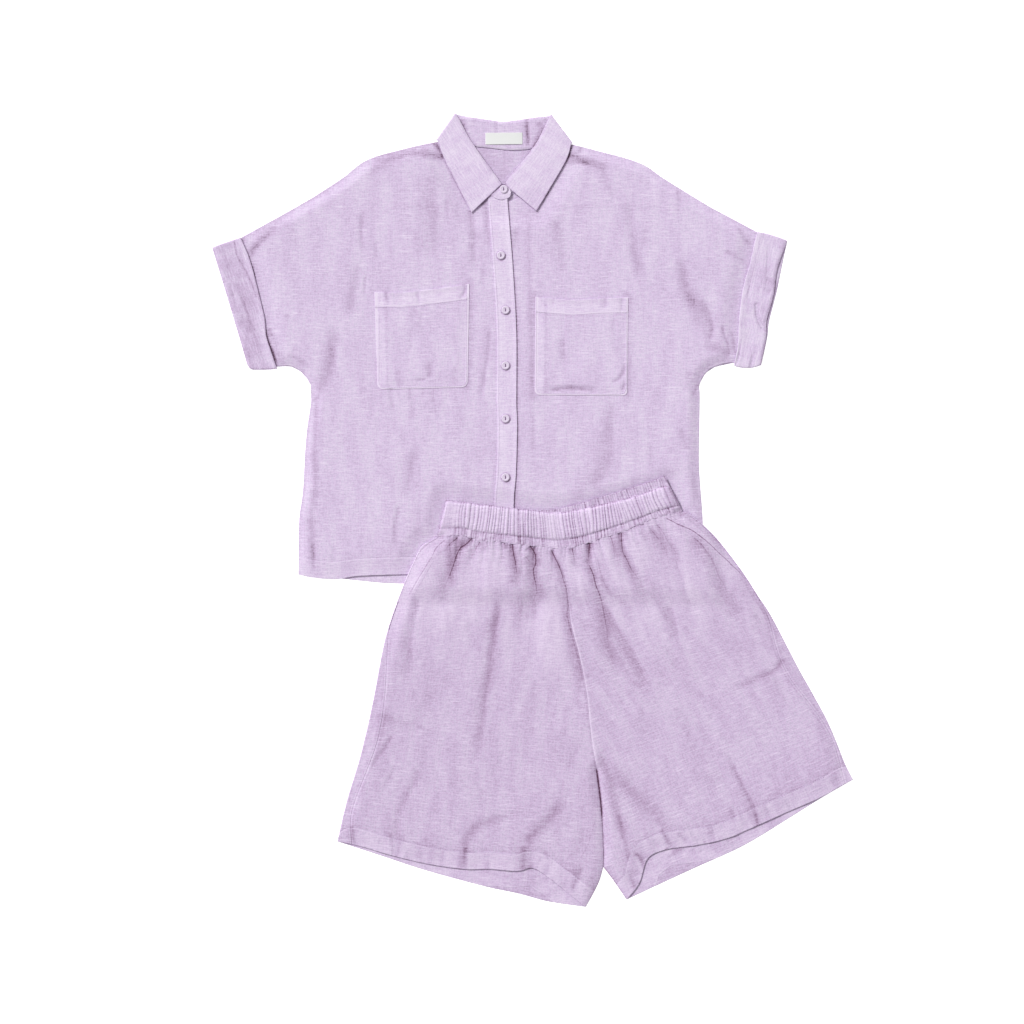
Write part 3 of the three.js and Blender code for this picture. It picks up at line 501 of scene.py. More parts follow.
@dataclass(frozen=True)
class Wall:
    """A closed cloth wall: its points, its faces and its fields at the points."""

    RIM_PAINTED_SHADE: ClassVar[tuple[float, float]] = (-0.55, -0.8)  # painted shade on a rim, and more where it faces up and left, towards the sun

    points: Array
    faces: tuple[Array, Array]  # quads and triangles
    grain: Array
    edges: Array
    tone: Array
    line: Array

    @classmethod
    def behind(cls, grids: list[Grid], thickness: float, foot: float | None = None, bulge: float = 0.4,
               coarse: int = 3) -> "Wall":
        """Welds the grids into one face, offsets it against its normal and closes it with a round rim.

        The back is face - thickness * normal, and the rim runs through a line halfway between them that
        stands out by a share of the thickness.

        Args:
            grids: The face's stretches, which meet point to point.
            thickness: The wall's thickness in millimetres.
            foot: The height of a level back, if it isn't offset.
            bulge: The rim's share.
            coarse: The back's step over the face's, as the back is hardly seen.

        Returns:
            The wall.
        """
        stacked = np.concatenate([g.points.reshape(-1, 3) for g in grids])
        _, first, welded = np.unique(np.round(stacked, 3), axis=0, return_index=True, return_inverse=True)
        welded = welded.reshape(-1)
        face = stacked[first]
        count = len(face)
        quads, behind, start = [], [], 0
        kept = np.full(count, -1)
        for g in grids:
            rows, columns = g.points.shape[:2]
            index = welded[start:start + rows * columns].reshape(rows, columns)
            quads.append(cls._quads(index))
            picked = [cls._every(n, coarse) for n in index.shape]
            closest = [np.abs(np.arange(n)[:, None] - p).argmin(axis=1) for n, p in zip(index.shape, picked)]
            nearest_kept = index[np.ix_(picked[0], picked[1])][np.ix_(*closest)]
            free = kept[index] < 0
            kept[index[free]] = nearest_kept[free]
            behind.append(cls._quads(kept[index[np.ix_(*picked)]]))
            start += rows * columns
        quads, behind = np.concatenate(quads), np.concatenate(behind)

        flat_normals = np.cross(face[quads[:, 2]] - face[quads[:, 0]], face[quads[:, 3]] - face[quads[:, 1]])
        normals = cls._gathered(quads.reshape(-1), np.repeat(flat_normals, 4, axis=0), count)
        back = face - thickness * normals if foot is None else face * [1, 1, 0] + [0, 0, foot]

        ends = np.stack([quads, np.roll(quads, -1, axis=1)], axis=-1).reshape(-1, 2)
        _, which, uses = np.unique(np.sort(ends, axis=1), axis=0, return_inverse=True, return_counts=True)
        border = ends[uses[which.reshape(-1)] == 1]
        outward = np.cross(face[border[:, 1]] - face[border[:, 0]], normals[border[:, 0]])
        away = cls._gathered(border.reshape(-1), np.repeat(outward, 2, axis=0), count)
        rim = np.unique(border)
        middle = np.full(count, -1)
        middle[rim] = 2 * count + np.arange(len(rim))
        edge = 0.5 * (face[rim] + back[rim]) + bulge * thickness * away[rim]

        a, b = border[:, 0], border[:, 1]
        upper = np.stack([b, a, middle[a], middle[b]], axis=-1)
        lower = np.stack([middle[b], middle[a], kept[a] + count, kept[b] + count], axis=-1)
        polygons = cls._proper(np.concatenate([quads, behind[:, ::-1] + count, upper, lower]))
        used, slots = np.unique(np.concatenate([p.ravel() for p in polygons]), return_inverse=True)
        ends = len(polygons[0]) * 4
        faces = (slots[:ends].reshape(-1, 4), slots[ends:].reshape(-1, 3))

        def everywhere(name: str, at_rim: float | Array = 0.0) -> Array:
            """One of the grids' fields at the face, the back and the rim, where at_rim is added.

            Args:
                name: The field.
                at_rim: What is added at the rim.

            Returns:
                Its values.
            """
            values = [getattr(g, name).reshape(g.points.shape[0] * g.points.shape[1], -1) for g in grids]
            once = np.concatenate(values)[first]
            return np.concatenate([once, once, once[rim] + at_rim])[used]

        points = np.concatenate([face, back, edge])[used]
        # painted shade on the rim, more where it faces up and left, towards the sun
        lit = np.clip((away[rim, 1] - away[rim, 0]) * 0.7, 0, 1)[:, None]
        darker = cls.RIM_PAINTED_SHADE[0] + cls.RIM_PAINTED_SHADE[1] * lit
        return cls(points, faces, everywhere("grain"), everywhere("edges"), everywhere("tone", darker)[:, 0],
                   everywhere("line"))

    @staticmethod
    def _every(number: int, step: int) -> Array:
        """Every step-th of so many lines, counted from the last, and always the first."""
        return np.unique(np.append(np.arange(number - 1, -1, -step), 0))

    @staticmethod
    def _quads(index: Array) -> Array:
        """The quads between the points of a grid of indices."""
        corners = (index[:-1, :-1], index[:-1, 1:], index[1:, 1:], index[1:, :-1])
        return np.stack(corners, axis=-1).reshape(-1, 4)

    @staticmethod
    def _proper(quads: Array) -> tuple[Array, Array]:
        """The true quads, and the triangles that quads with one corner twice come to.

        Args:
            quads: The quads.

        Returns:
            The quads and the triangles.
        """
        twice = quads == np.roll(quads, -1, axis=1)
        number = twice.sum(axis=1)
        return quads[number == 0], quads[number == 1][~twice[number == 1]].reshape(-1, 3)

    @staticmethod
    def _gathered(index: Array, vectors: Array, count: int) -> Array:
        """The vectors summed at each index and brought to length 1."""
        summed = np.stack([np.bincount(index, vectors[:, k], count) for k in range(3)], axis=-1)
        return summed / np.maximum(np.linalg.norm(summed, axis=1, keepdims=True), 1e-9)


# ---------------------------------------------------------------- the row's frame
@dataclass(frozen=True)
class Layout:
    """Where a garment's plane lies in the row's frame."""

    x: float  # its origin, in metres
    y: float
    turn: float = 0.0

    def place(self, points: Array) -> Array:
        """Garment millimetres as row metres.

        Args:
            points: Points in the garment's plane.

        Returns:
            The points in the row's frame.
        """
        c, s = math.cos(self.turn), math.sin(self.turn)
        x, y = points[..., 0] * MM, points[..., 1] * MM
        return np.stack([self.x + c * x - s * y, self.y + s * x + c * y, points[..., 2] * MM], axis=-1)


def mesh_object(name: str, points: Array, faces: tuple[Array, ...], material: Material) -> Piece:
    """A smooth-shaded object in the scene.

    Args:
        name: The piece's name.
        points: Its points in the row's frame, in metres.
        faces: Indices, (faces, corners), in one array for each number of corners.
        material: Its finish.

    Returns:
        The object, at the origin.
    """
    mesh = bpy.data.meshes.new(name)
    corners = np.concatenate([group.ravel() for group in faces]).astype(np.int32)
    sides = np.concatenate([np.full(len(group), group.shape[1], dtype=np.int32) for group in faces])
    mesh.vertices.add(len(points))
    mesh.vertices.foreach_set("co", points.astype(np.float32).ravel())
    mesh.loops.add(len(corners))
    mesh.loops.foreach_set("vertex_index", corners)
    mesh.polygons.add(len(sides))
    mesh.polygons.foreach_set("loop_start", (np.cumsum(sides) - sides).astype(np.int32))
    mesh.polygons.foreach_set("loop_total", sides)
    mesh.polygons.foreach_set("use_smooth", np.ones(len(sides), dtype=bool))
    mesh.update(calc_edges=True)
    mesh.validate()
    mesh.materials.append(material)
    made = bpy.data.objects.new(name, mesh)
    bpy.context.scene.collection.objects.link(made)
    return made


def with_fields(made: Piece, wall: Wall) -> None:
    """Gives the mesh its fields: grain in metres and edges in millimetres as UV maps, tone at the points.

    Args:
        made: The piece.
        wall: Its wall.
    """
    corners = np.concatenate([group.ravel() for group in wall.faces])
    for name, values in (("grain", wall.grain * MM), ("edges", wall.edges), ("line", wall.line)):
        layer = made.data.uv_layers.new(name=name)
        layer.data.foreach_set("uv", values[corners].astype(np.float32).ravel())
    attribute = made.data.attributes.new("tone", "FLOAT", "POINT")
    attribute.data.foreach_set("value", wall.tone.astype(np.float32))


def rest(piece: Piece, slot: str, *nodes: str) -> Piece:
    """Lets a piece ride on the set's one body and stand for its nodes, and reports it.

    Args:
        piece: The piece.
        slot: Its material slot; not used.
        *nodes: The nodes that it stands for.

    Returns:
        The piece.
    """
    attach(piece, "root")
    if nodes:
        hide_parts(*nodes)
    triangles = len(piece.data.loops) - 2 * len(piece.data.polygons)
    logging.info("%s: %d points, %d triangles", piece.name, len(piece.data.vertices), triangles)
    return piece


@dataclass(frozen=True)
class Cut:
    """A piece's flat cut, in metres and square metres, and how it is held."""

    width: float
    length: float
    area: float | None = None
    held: str = "laid"


@dataclass(frozen=True)
class Tailor:
    """Sews grids of one garment into pieces of its cloth."""

    layout: Layout
    slot: str
    material: Material

    def sew(self, node: str, grids: list[Grid], thickness: float, cut: Cut, on: tuple[str, ...]) -> Piece:
        """Makes a wall behind the grids, which stands for the node of the same name.

        Args:
            node: The CAD node that the piece stands for.
            grids: Its face.
            thickness: Its wall in millimetres.
            cut: Its flat cut; not used.
            on: The nodes that it lies on; not used.

        Returns:
            The piece.
        """
        wall = Wall.behind(grids, thickness)
        piece = mesh_object(node + "_cloth", self.layout.place(wall.points), wall.faces, self.material)
        with_fields(piece, wall)
        rest(piece, self.slot, node)
        return piece


# ---------------------------------------------------------------- where the garments' planes meet
SHORTS_AT = (68.0, 48.0)
SHORTS_TURN = math.radians(7.0)


def to_shorts(x: Array, y: Array) -> tuple[Array, Array]:
    """Places in the shirt's plane, in the shorts' own.

    Args:
        x: Places across.
        y: Places up.

    Returns:
        Their places there.
    """
    c, s = math.cos(SHORTS_TURN), math.sin(SHORTS_TURN)
    dx, dy = x - SHORTS_AT[0], y - SHORTS_AT[1]
    return c * dx + s * dy, c * dy - s * dx


def to_shirt(x: Array, y: Array) -> tuple[Array, Array]:
    """Places in the shorts' plane, in the shirt's."""
    c, s = math.cos(SHORTS_TURN), math.sin(SHORTS_TURN)
    return SHORTS_AT[0] + c * x - s * y, SHORTS_AT[1] + s * x + c * y


def moved(points: Points, dx: float, dy: float = 0.0) -> Points:
    """The points, moved."""
    return tuple((x + dx, y + dy) for x, y in points)


def turned(fold: Array, inward: Array, reach: Array, high: Array, low: Array, steps: int) -> Array:
    """A cloth's face turned over at a fold, from its upper level to its lower one.

    It is half an ellipse: at angle a the point is fold + inward * reach * (1 - sin a), and its height is
    (high + low) / 2 + (high - low) / 2 * cos a.

    Args:
        fold: The fold's outermost line, (rows, 2).
        inward: The direction away from it over the cloth, (rows, 2).
        reach: How far in the turn starts, (rows,).
        high: The upper level, (rows,).
        low: The lower level, (rows,).
        steps: Steps over the turn.

    Returns:
        The points between both levels, (rows, steps - 1, 3).
    """
    angle = np.linspace(0.0, math.pi, steps + 1)[None, 1:-1]
    flat = fold[:, None] + inward[:, None] * (reach[:, None] * (1 - np.sin(angle)))[..., None]
    height = 0.5 * (high + low)[:, None] + 0.5 * (high - low)[:, None] * np.cos(angle)
    return np.concatenate([flat, height[..., None]], axis=-1)


def unit(vectors: Array) -> Array:
    """The vectors at length 1."""
    return vectors / np.maximum(np.linalg.norm(vectors, axis=-1, keepdims=True), 1e-9)


# ---------------------------------------------------------------- the shirt
SHIRT_CREASES = (
    # the viewer's left sleeve and the long fold under it
    Crease(((-283, 476), (-296, 466), (-308, 456), (-319, 445), (-327, 436), (-338, 420)), -1.3, 9, 7.5,
           0.5, 1.1, 0.4),
    Crease(((-286, 478), (-276, 456), (-268, 430)), -0.35, 9, 9, 1.0, 0.8, 0.2),
    Crease(((-308, 333), (-298, 317)), -1.0, 3, 3, 1.0, 0.8, 0.05),
    Crease(((-296, 304), (-289, 284)), -0.9, 1.8, 1.8),
    Crease(((-291, 303), (-286, 284)), -0.6, 1.4, 1.4),
    Crease(((-284, 300), (-268, 292), (-252, 281)), -0.7, 2.5, 2.5, 1.0, 0.8),
    Crease(((-282, 353), (-283, 340)), -0.4, 3, 3),
    Crease(((-219, 340), (-221, 322), (-225, 305), (-226, 290), (-231, 275), (-238, 260), (-243, 248),
            (-246, 230)), -1.0, 10, 6.5, 1.0, 0.9, 0.2),
    Crease(((-246, 250), (-246, 215), (-247, 190), (-248, 165), (-246, 140), (-246, 116)), -0.8, 4.5, 4,
           1.0, 1.1, 0.1),
    Crease(((-246, 128), (-249, 108), (-253, 92), (-256, 72)), -0.9, 6, 5),
    Crease(((-252, 92), (-250, 55), (-249, 20)), -0.7, 9, 7, 1.0, 0.9),
    Crease(((-250, 54), (-249, 14)), -0.9, 2, 2, 1.0, 1.0, 0.05),
    Crease(((-188, 424), (-194, 395), (-199, 370), (-204, 342)), -0.7, 7, 5.5, 1.0, 1.0, 0.2),
    # the viewer's left front
    Crease(((-186, 484), (-187, 455), (-184, 428)), -0.9, 3.5, 3, 1.0, 0.7),
    Crease(((-182, 402), (-183, 376)), -0.9, 2, 2, 1.0, 0.8),
    Crease(((-169, 447), (-167, 418)), -0.6, 2.5, 2.5, 1.0, 0.8),
    Crease(((-89, 492), (-91, 460), (-92, 428)), -0.5, 3.5, 3.5, 1.0, 0.7),
    Crease(((-77, 502), (-75, 468)), -0.5, 2.5, 2.5, 1.0, 0.7),
    Crease(((-47, 488), (-44, 470), (-41, 450), (-42, 430), (-38, 400)), -1.2, 4.5, 4, 1.4, 0.4, 0.02),
    Crease(((-28, 500), (-25, 485), (-24, 465), (-22, 438)), -1.0, 3.5, 3.5, 1.0, 0.5, 0.02),
    Crease(((-30, 412), (-29, 386)), -0.5, 3, 3),
    Crease(((-20, 338), (-23, 300), (-27, 275), (-31, 250), (-32, 234)), -0.7, 2.8, 2.5, 1.0, 0.9),
    Crease(((-148, 256), (-147, 240), (-144, 222)), -0.8, 4, 3.5, 1.0, 0.5, 0.02),
    Crease(((-121, 252), (-119, 211)), -0.5, 4, 4, 1.0, 0.7),
    Crease(((-94, 255), (-93, 240), (-88, 212)), -0.6, 1.7, 1.7, 1.0, 0.7, 0.02),
    Crease(((-107, 255), (-107, 240)), -0.5, 1.6, 1.6, 1.0, 0.7, 0.02),
    Crease(((-124, 255), (-124, 238)), -0.4, 2, 2, 1.0, 0.7, 0.02),
    Crease(((-117, 180), (-122, 152), (-125, 130), (-131, 108)), -0.7, 8, 6, 1.1, 0.8, 0.2),
    Crease(((-138, 106), (-142, 86), (-144, 70), (-143, 44)), -0.9, 2.2, 5, 1.0, 0.8),
    Crease(((-112, 102), (-115, 56)), -0.5, 6, 6, 1.0, 0.8),
    Crease(((-222, 50), (-224, 26)), -0.5, 3, 3, 1.0, 0.9),
    # along the shoulders
    Crease(((-80, 556), (-92, 557), (-103, 560), (-118, 560), (-135, 556), (-152, 551), (-170, 540),
            (-188, 528)), -1.7, 4.6, 4.2, 2.0, 0.3, 0.02),
    Crease(((-94, 576), (-88, 567), (-84, 560)), -1.3, 2.5, 2.5, 1.0, 0.8, 0.05),
    Crease(((80, 558), (90, 557), (98, 553), (108, 549), (120, 545), (139, 541)), -1.8, 4.2, 4.0, 1.8, 0.35,
           0.02),
    Crease(((79, 550), (92, 549), (114, 546)), -1.3, 3.5, 3.5, 1.0, 0.5, 0.02),
    Crease(((98, 572), (96, 561)), -1.3, 2.5, 2.5, 1.0, 0.8, 0.05),
    # the viewer's right front and sleeve
    Crease(((14, 464), (15, 448), (18, 436)), -0.9, 3.5, 3.5),
    Crease(((125, 543), (130, 525), (136, 512), (142, 495)), -0.5, 3, 6, 1.0, 0.8),
    Crease(((163, 504), (162, 480), (164, 460), (166, 440), (168, 430), (171, 418), (175, 406), (181, 392)),
           -0.75, 5, 4.5, 1.5, 0.9, 0.2),
    Crease(((182, 464), (184, 436)), -0.6, 3, 3),
    Crease(((221, 515), (225, 505), (226, 498), (223, 476)), -0.9, 2.5, 2.5),
    Crease(((65, 474), (69, 455), (70, 440), (69, 416)), -0.45, 6, 5),
    Crease(((230, 430), (230, 405), (233, 388), (240, 370), (249, 352)), -1.0, 7, 7, 1.2, 0.9, 0.25),
    Crease(((253, 374), (262, 358), (267, 342), (267, 328), (262, 312)), -1.1, 8, 3.5, 1.0, 0.9, 0.25),
    Crease(((242, 384), (250, 352), (254, 326)), -0.5, 11, 12, 1.0, 1.0, 0.2),
    Crease(((256, 316), (270, 308), (284, 303), (293, 297)), -0.8, 5, 5, 1.0, 1.0, 0.25),
    Crease(((281, 338), (285, 322), (290, 308), (289, 292)), -1.0, 1.8, 1.8, 1.0, 1.0, 0.1),
    Crease(((293, 332), (297, 312), (298, 294)), -0.9, 1.8, 1.8, 1.0, 0.9),
    Crease(((284, 435), (299, 427), (315, 418)), -0.9, 3.5, 3, 1.0, 0.8),
    Crease(((301, 466), (310, 451), (321, 442)), -1.0, 3, 3, 1.0, 1.0),
    Crease(((286, 394), (283, 370)), -0.4, 3, 3),
    Crease(((238, 280), (236, 246)), -0.7, 4, 4),
    Crease(((251, 264), (247, 254), (242, 244)), -1.1, 2, 2, 1.0, 0.9, 0.05),
    Crease(((138, 248), (137, 215), (135, 190), (133, 168), (130, 150), (120, 138), (104, 128), (84, 118)),
           -0.85, 10, 6, 1.3, 0.8, 0.2),
    Crease(((188, 184), (190, 165), (190, 141)), -0.6, 3.5, 3.5),
    Crease(((228, 204), (232, 190), (238, 170)), -0.8, 3.5, 3.5),
    Crease(((243, 152), (247, 106)), -0.6, 1.8, 1.8),
    Crease(((66, 482), (78, 400)), -0.5, 11, 9, 1.0, 0.7),
    Crease(((-95, 540), (-101, 410)), -0.6, 14, 14, 1.0, 0.8),
)
LEAF_PAINTED_SHADOW = Crease(((0, 524), (-12, 514), (-26, 500), (-45, 483)), -2.6, 1.8, 2.2, 1.0, 0.3, 0.02)
SHIRT_MARKS = (  # lines that are only seen as darker or paler cloth, by their tone; many are painted shade beside an edge
    Crease(((-150, 491), (-60, 491.5)), -0.18, 3, 3, 1.0, 1.0),
    Crease(((45, 491), (222, 491)), -0.2, 3.5, 3.5, 1.0, 1.0),
    Crease(((31, 500), (31, 400), (33, 330), (35, 248), (36, 180), (36, 100)), -0.28, 3.5, 2.0, 1.0, 1.0,
           0.1),
    Crease(((190, 534), (193, 510), (198, 486)), 0.5, 4, 4),
    Crease(((-58, 235), (-52, 150)), -0.15, 10, 10),
    # painted shadow in the gaps where a cuff or a leaf stands off the front
    Crease(((-339, 437), (-334, 425), (-330, 413), (-324, 393)), -2.2, 1.8, 1.8, 1.0, 0.9, 0.3),
    Crease(((-313, 338), (-311, 324), (-308, 314), (-303, 303), (-298, 288), (-297, 280)), -1.9, 1.8, 2.4,
           0.9, 1.0, 0.25),
    LEAF_PAINTED_SHADOW,
    Crease(((88, 577), (80, 555), (62, 523), (41, 485)), -1.7, 1.8, 1.8, 1.0, 0.8, 0.1),
    Crease(((-91, 578), (-79, 551), (-62, 518), (-45, 484)), -0.9, 1.2, 1.2, 1.0, 0.9, 0.1),
)
STAND_CREASES = (  # inside the neck
    Crease(((-12.6, 603), (-13.5, 586)), -0.8, 2.0, 2.0, 1.0, 0.7, 0.02),
    Crease(((-54, 606), (-52, 590)), -0.6, 2.5, 2.5, 1.0, 0.7, 0.02),
    Crease(((-42, 609), (-38, 596)), -0.5, 2.0, 2.0, 1.0, 0.7, 0.02),
    Crease(((28, 607), (28, 594), (29, 580), (30, 567)), -1.6, 1.2, 1.2, 1.0, 0.9, 0.02),
    Crease(((34, 566), (42, 584), (52, 604)), -0.9, 3.0, 2.5, 1.0, 0.8),
    Crease(((38, 595), (46, 601), (57, 607)), -0.9, 1.8, 1.8, 1.0, 0.8),
)
CUFF_CREASES = {
    Side.RIGHT: (
        Crease(((-353, 394), (-344, 380), (-338, 360), (-334, 350), (-328, 335), (-323, 318)), -0.5, 3.0,
               3.0, 1.0, 0.9),
        Crease(((-344, 352), (-330, 323)), -0.5, 3, 3),
        Crease(((-354, 379), (-354, 371)), -0.7, 2, 2),
        Crease(((-362, 420), (-352, 380)), -0.3, 5, 5),
        Crease(((-340, 310), (-334, 286)), -0.4, 4, 4),
    ),
    Side.LEFT: (
        Crease(((326, 368), (327, 352), (330, 342), (338, 327)), -1.5, 2.6, 2.4, 1.0, 0.9, 0.1),
        Crease(((334, 364), (338, 345), (338, 330)), -0.4, 6, 5, 1.0, 0.9),
        Crease(((338, 398), (352, 391)), -0.7, 2, 2),
        Crease(((343, 384), (342, 376)), -0.6, 2.5, 2.5),
        Crease(((318, 282), (322, 302)), -0.9, 1.8, 1.8, 1.0, 0.5, 0.02),
        Crease(((297, 282), (303, 298), (305, 318)), -1.0, 1.6, 1.6, 1.0, 0.6, 0.02),
        Crease(((317, 402), (317, 385), (314, 366)), -0.6, 1.6, 1.6, 1.0, 0.8),
        Crease(((341, 448), (339, 400), (336, 368)), -0.4, 1.5, 8, 1.0, 0.9),
        Crease(((318, 335), (318, 300)), -0.4, 4, 4),
    ),
}
POCKET_CREASES = {
    Side.RIGHT: (
        Crease(((-98, 294), (-98, 278), (-99, 265)), -1.0, 5, 4, 1.0, 0.9, 0.35),
        Crease(((-118, 266), (-99, 267)), -0.9, 2, 2, 1.0, 1.0, 0.3),
        Crease(((-114, 383), (-113, 374), (-111, 362)), -0.9, 2.2, 2.2, 1.0, 0.9, 0.05),
        Crease(((-155, 382), (-153, 372), (-150, 362)), -0.8, 2, 2, 1.0, 0.9, 0.05),
        Crease(((-134, 382), (-131, 362)), -0.4, 13, 1.4, 1.0, 0.9, 0.05),
        Crease(((-65, 284), (-64, 256)), -0.5, 2.5, 2.5),
        Crease(((-140, 280), (-138, 254)), -0.5, 3.5, 3.5, 1.0, 0.8),
        Crease(((-57, 392), (-52, 387), (-53, 380), (-60, 370)), -1.3, 2.4, 2.4, 1.0, 0.9, 0.05),
        Crease(((-123, 334), (-123, 301)), -0.4, 2, 2),
        Crease(((-119, 362), (-118, 344)), -0.5, 3, 3),
        Crease(((-97, 345), (-96, 320)), -0.3, 4, 4),
    ),
    Side.LEFT: (
        Crease(((50, 251), (66, 254), (80, 256), (95, 255.5), (113, 254)), -1.3, 3.2, 3.0, 1.0, 1.0, 0.3),
        Crease(((113, 258), (112, 248)), -0.8, 4, 4, 1.0, 0.9),
        Crease(((157, 288), (153, 276), (148, 268), (134, 261)), -1.3, 2.4, 2, 1.3, 0.6),
        Crease(((157, 264), (150, 250)), -1.0, 2.5, 2.5, 1.0, 0.8),
        Crease(((45, 375), (50, 366), (56, 359)), -0.9, 2, 2, 1.0, 0.8, 0.05),
        Crease(((63, 380), (62, 360)), -0.7, 2.5, 2.5, 1.0, 0.8, 0.05),
        Crease(((131, 376), (128, 357)), -0.9, 4, 4, 1.0, 0.8, 0.1),
        Crease(((152, 376), (150, 351)), -0.8, 1.8, 1.8, 1.0, 0.8, 0.05),
        Crease(((76, 322), (77, 300), (79, 282)), -0.7, 6, 1.4, 1.0, 0.9),
        Crease(((141, 349), (141, 296)), -0.5, 2.5, 2.5),
        Crease(((73, 349), (74, 320)), -0.4, 3, 3),
    ),
}


@dataclass(frozen=True)
class Shirt:
    """The shirt's cloth, in millimetres: two fronts over a back and yoke, and what is sewn on them."""

    tailor: Tailor
    wall: float = 0.65
    level: float = 2.3  # the face of a front that is held flat
    pinch: float = 0.75  # how far it comes down to a seam
    lift: float = 2.4  # how far it floats where nothing holds it
    placket_half: float = 12.5
    fronts_meet: float = 4.0
    hem: float = 22.0

    # -- the fronts' form
    def _loose(self, x: Array, y: Array) -> Array:
        """0 where the cuffs, the collar or the shorts hold a front flat, and 1 well away from them.

        Args:
            x: Places across.
            y: Places up.

        Returns:
            How loose a place is, from 0 to 1.
        """
        away = []
        for side in Side:
            reach = side.value
            line = ((reach * 360, 620), *CUFF_FREE[side], (reach * 330, 60))
            off, which, _ = nearest(np.asarray(line, float), x, y)
            away.append(np.where(which * reach > 0, 0.0, off))
        collar = LEAF_OUTER[Side.RIGHT][::-1] + LEAF_OUTER[Side.LEFT]
        off, which, _ = nearest(np.asarray(collar, float), x, y)
        away.append(np.where(which > 0, 0.0, off))
        shorts = LEG_OUTER[Side.RIGHT] + BAND_TOP_FRONT + LEG_OUTER[Side.LEFT][::-1]
        off, which, _ = nearest(np.asarray(shorts, float), *to_shorts(x, y))
        away.append(np.where(which < 0, 0.0, off))
        return smooth(np.minimum.reduce(away), 3.0, 26.0)

    def _sewn(self, x: Array, y: Array) -> Array:
        """The distance to the nearest seam round the fronts."""
        lines = [table[side] for table in (SHOULDER, SLEEVE_TOP, UNDERARM, SIDE_SEAM) for side in Side]
        return np.minimum.reduce([distance(line, x, y) for line in lines])

    def top(self, x: Array, y: Array) -> Array:
        """The fronts' face: a flat level that comes down to the seams, and a float with creases elsewhere.

        Args:
            x: Places across.
            y: Places up.

        Returns:
            The height.
        """
        sewn = self._sewn(x, y)
        hem = np.minimum.reduce([distance(FRONT_HEM[side], x, y) for side in Side])
        loose = self._loose(x, y) * smooth(sewn, 1.0, 16.0) * (0.25 + 0.75 * smooth(hem, 0.0, 30.0))
        crumple = 0.25 * lumps(x, y, (52, 70), 3) + 0.10 * lumps(x, y, (19, 31), 4)
        small = total(Wrinkles(11, 150, (-360, 20), (360, 560), 0.28).creases(), x, y)
        floating = np.maximum(-0.4, self.lift + 0.6 * total(SHIRT_CREASES, x, y) + crumple + small)
        pucker = 0.12 * lumps(x, y, (7, 7), 5) * (1 - smooth(sewn, 3.0, 12.0))
        return self.level - self.pinch * (1 - smooth(sewn, 0.0, 7.0)) + loose * floating + pucker

    @staticmethod
    def _painted_shade(x: Array, y: Array) -> Array:
        """Painted shade on a front beside the cuffs, the collar, the placket, the pockets and the shorts.

        Args:
            x: Places across.
            y: Places up.

        Returns:
            What the tone loses.
        """
        out = 0.45 * np.exp(-distance(CUFF_FREE[Side.RIGHT], x, y) / 4.0)
        out = out + 0.4 * np.exp(-distance(CUFF_FREE[Side.LEFT], x, y) / 3.0)
        for side in Side:
            out = out + 0.4 * np.exp(-distance(LEAF_OUTER[side], x, y) / 3.0)
            low_left, low_right, *upper = POCKET[side]
            # painted shade beside each pocket's right, bottom and left edges; lit sets the left edge's reach
            # and strength
            lit = (3.0, 0.12) if side is Side.RIGHT else (7.5, 0.6)
            for edge, reach, much in (((low_right, upper[0]), 5.5, 0.5), ((low_left, low_right), 1.6, 0.12),
                                      ((low_left, upper[-1]), *lit)):
                off = nearest(np.asarray(edge, float), x, y)[0]
                out = out + much * bell(off, reach)
        off, which, _ = nearest(curve(PLACKET_LINE), x, y)
        beyond = np.maximum(off - 12.5, 0.0)
        out = out + bell(beyond, 4.5) * np.where(which > 0, 0.14, 0.4)
        out = out + 1.3 * bell(beyond, 1.5) * (which < 0)
        shorts = (*LEG_OUTER[Side.RIGHT], *BAND_TOP_BACK, *LEG_OUTER[Side.LEFT][::-1])
        off = nearest(np.asarray(shorts, float), *to_shorts(x, y))[0]
        return out + 0.4 * np.exp(-off / 4.0)

    def _tone(self, x: Array, y: Array) -> Array:
        """Painted shade down in the creases and beside what lies on the fronts.

        Args:
            x: Places across.
            y: Places up.

        Returns:
            The tone.
        """
        creases = 0.76 * np.minimum(total(SHIRT_CREASES, x, y), 0.12)
        top = np.minimum(distance(SHOULDER[Side.RIGHT], x, y), distance(SLEEVE_TOP[Side.RIGHT], x, y))
        return creases - self._painted_shade(x, y) + total(SHIRT_MARKS, x, y) - 0.35 * (1 - smooth(top, 0.0, 10.0))

    def _front_cloth(self) -> Cloth:
        """What the fronts are laid by.

        Returns:
            The cloth.
        """
        hem = {side: curve(FRONT_HEM[side]) for side in Side}

        def from_hem(x: Array, y: Array) -> Array:
            """How far a place is above the hem's stitching."""
            return np.minimum.reduce([nearest(line, x, y)[0] for line in hem.values()]) - self.hem

        def seam(x: Array, y: Array) -> Array:
            """The distance to the nearest seam or line of stitching."""
            return np.minimum(self._sewn(x, y), np.abs(from_hem(x, y)))

        return Cloth(self.top, doubled=from_hem, seam=seam, tone=self._tone)

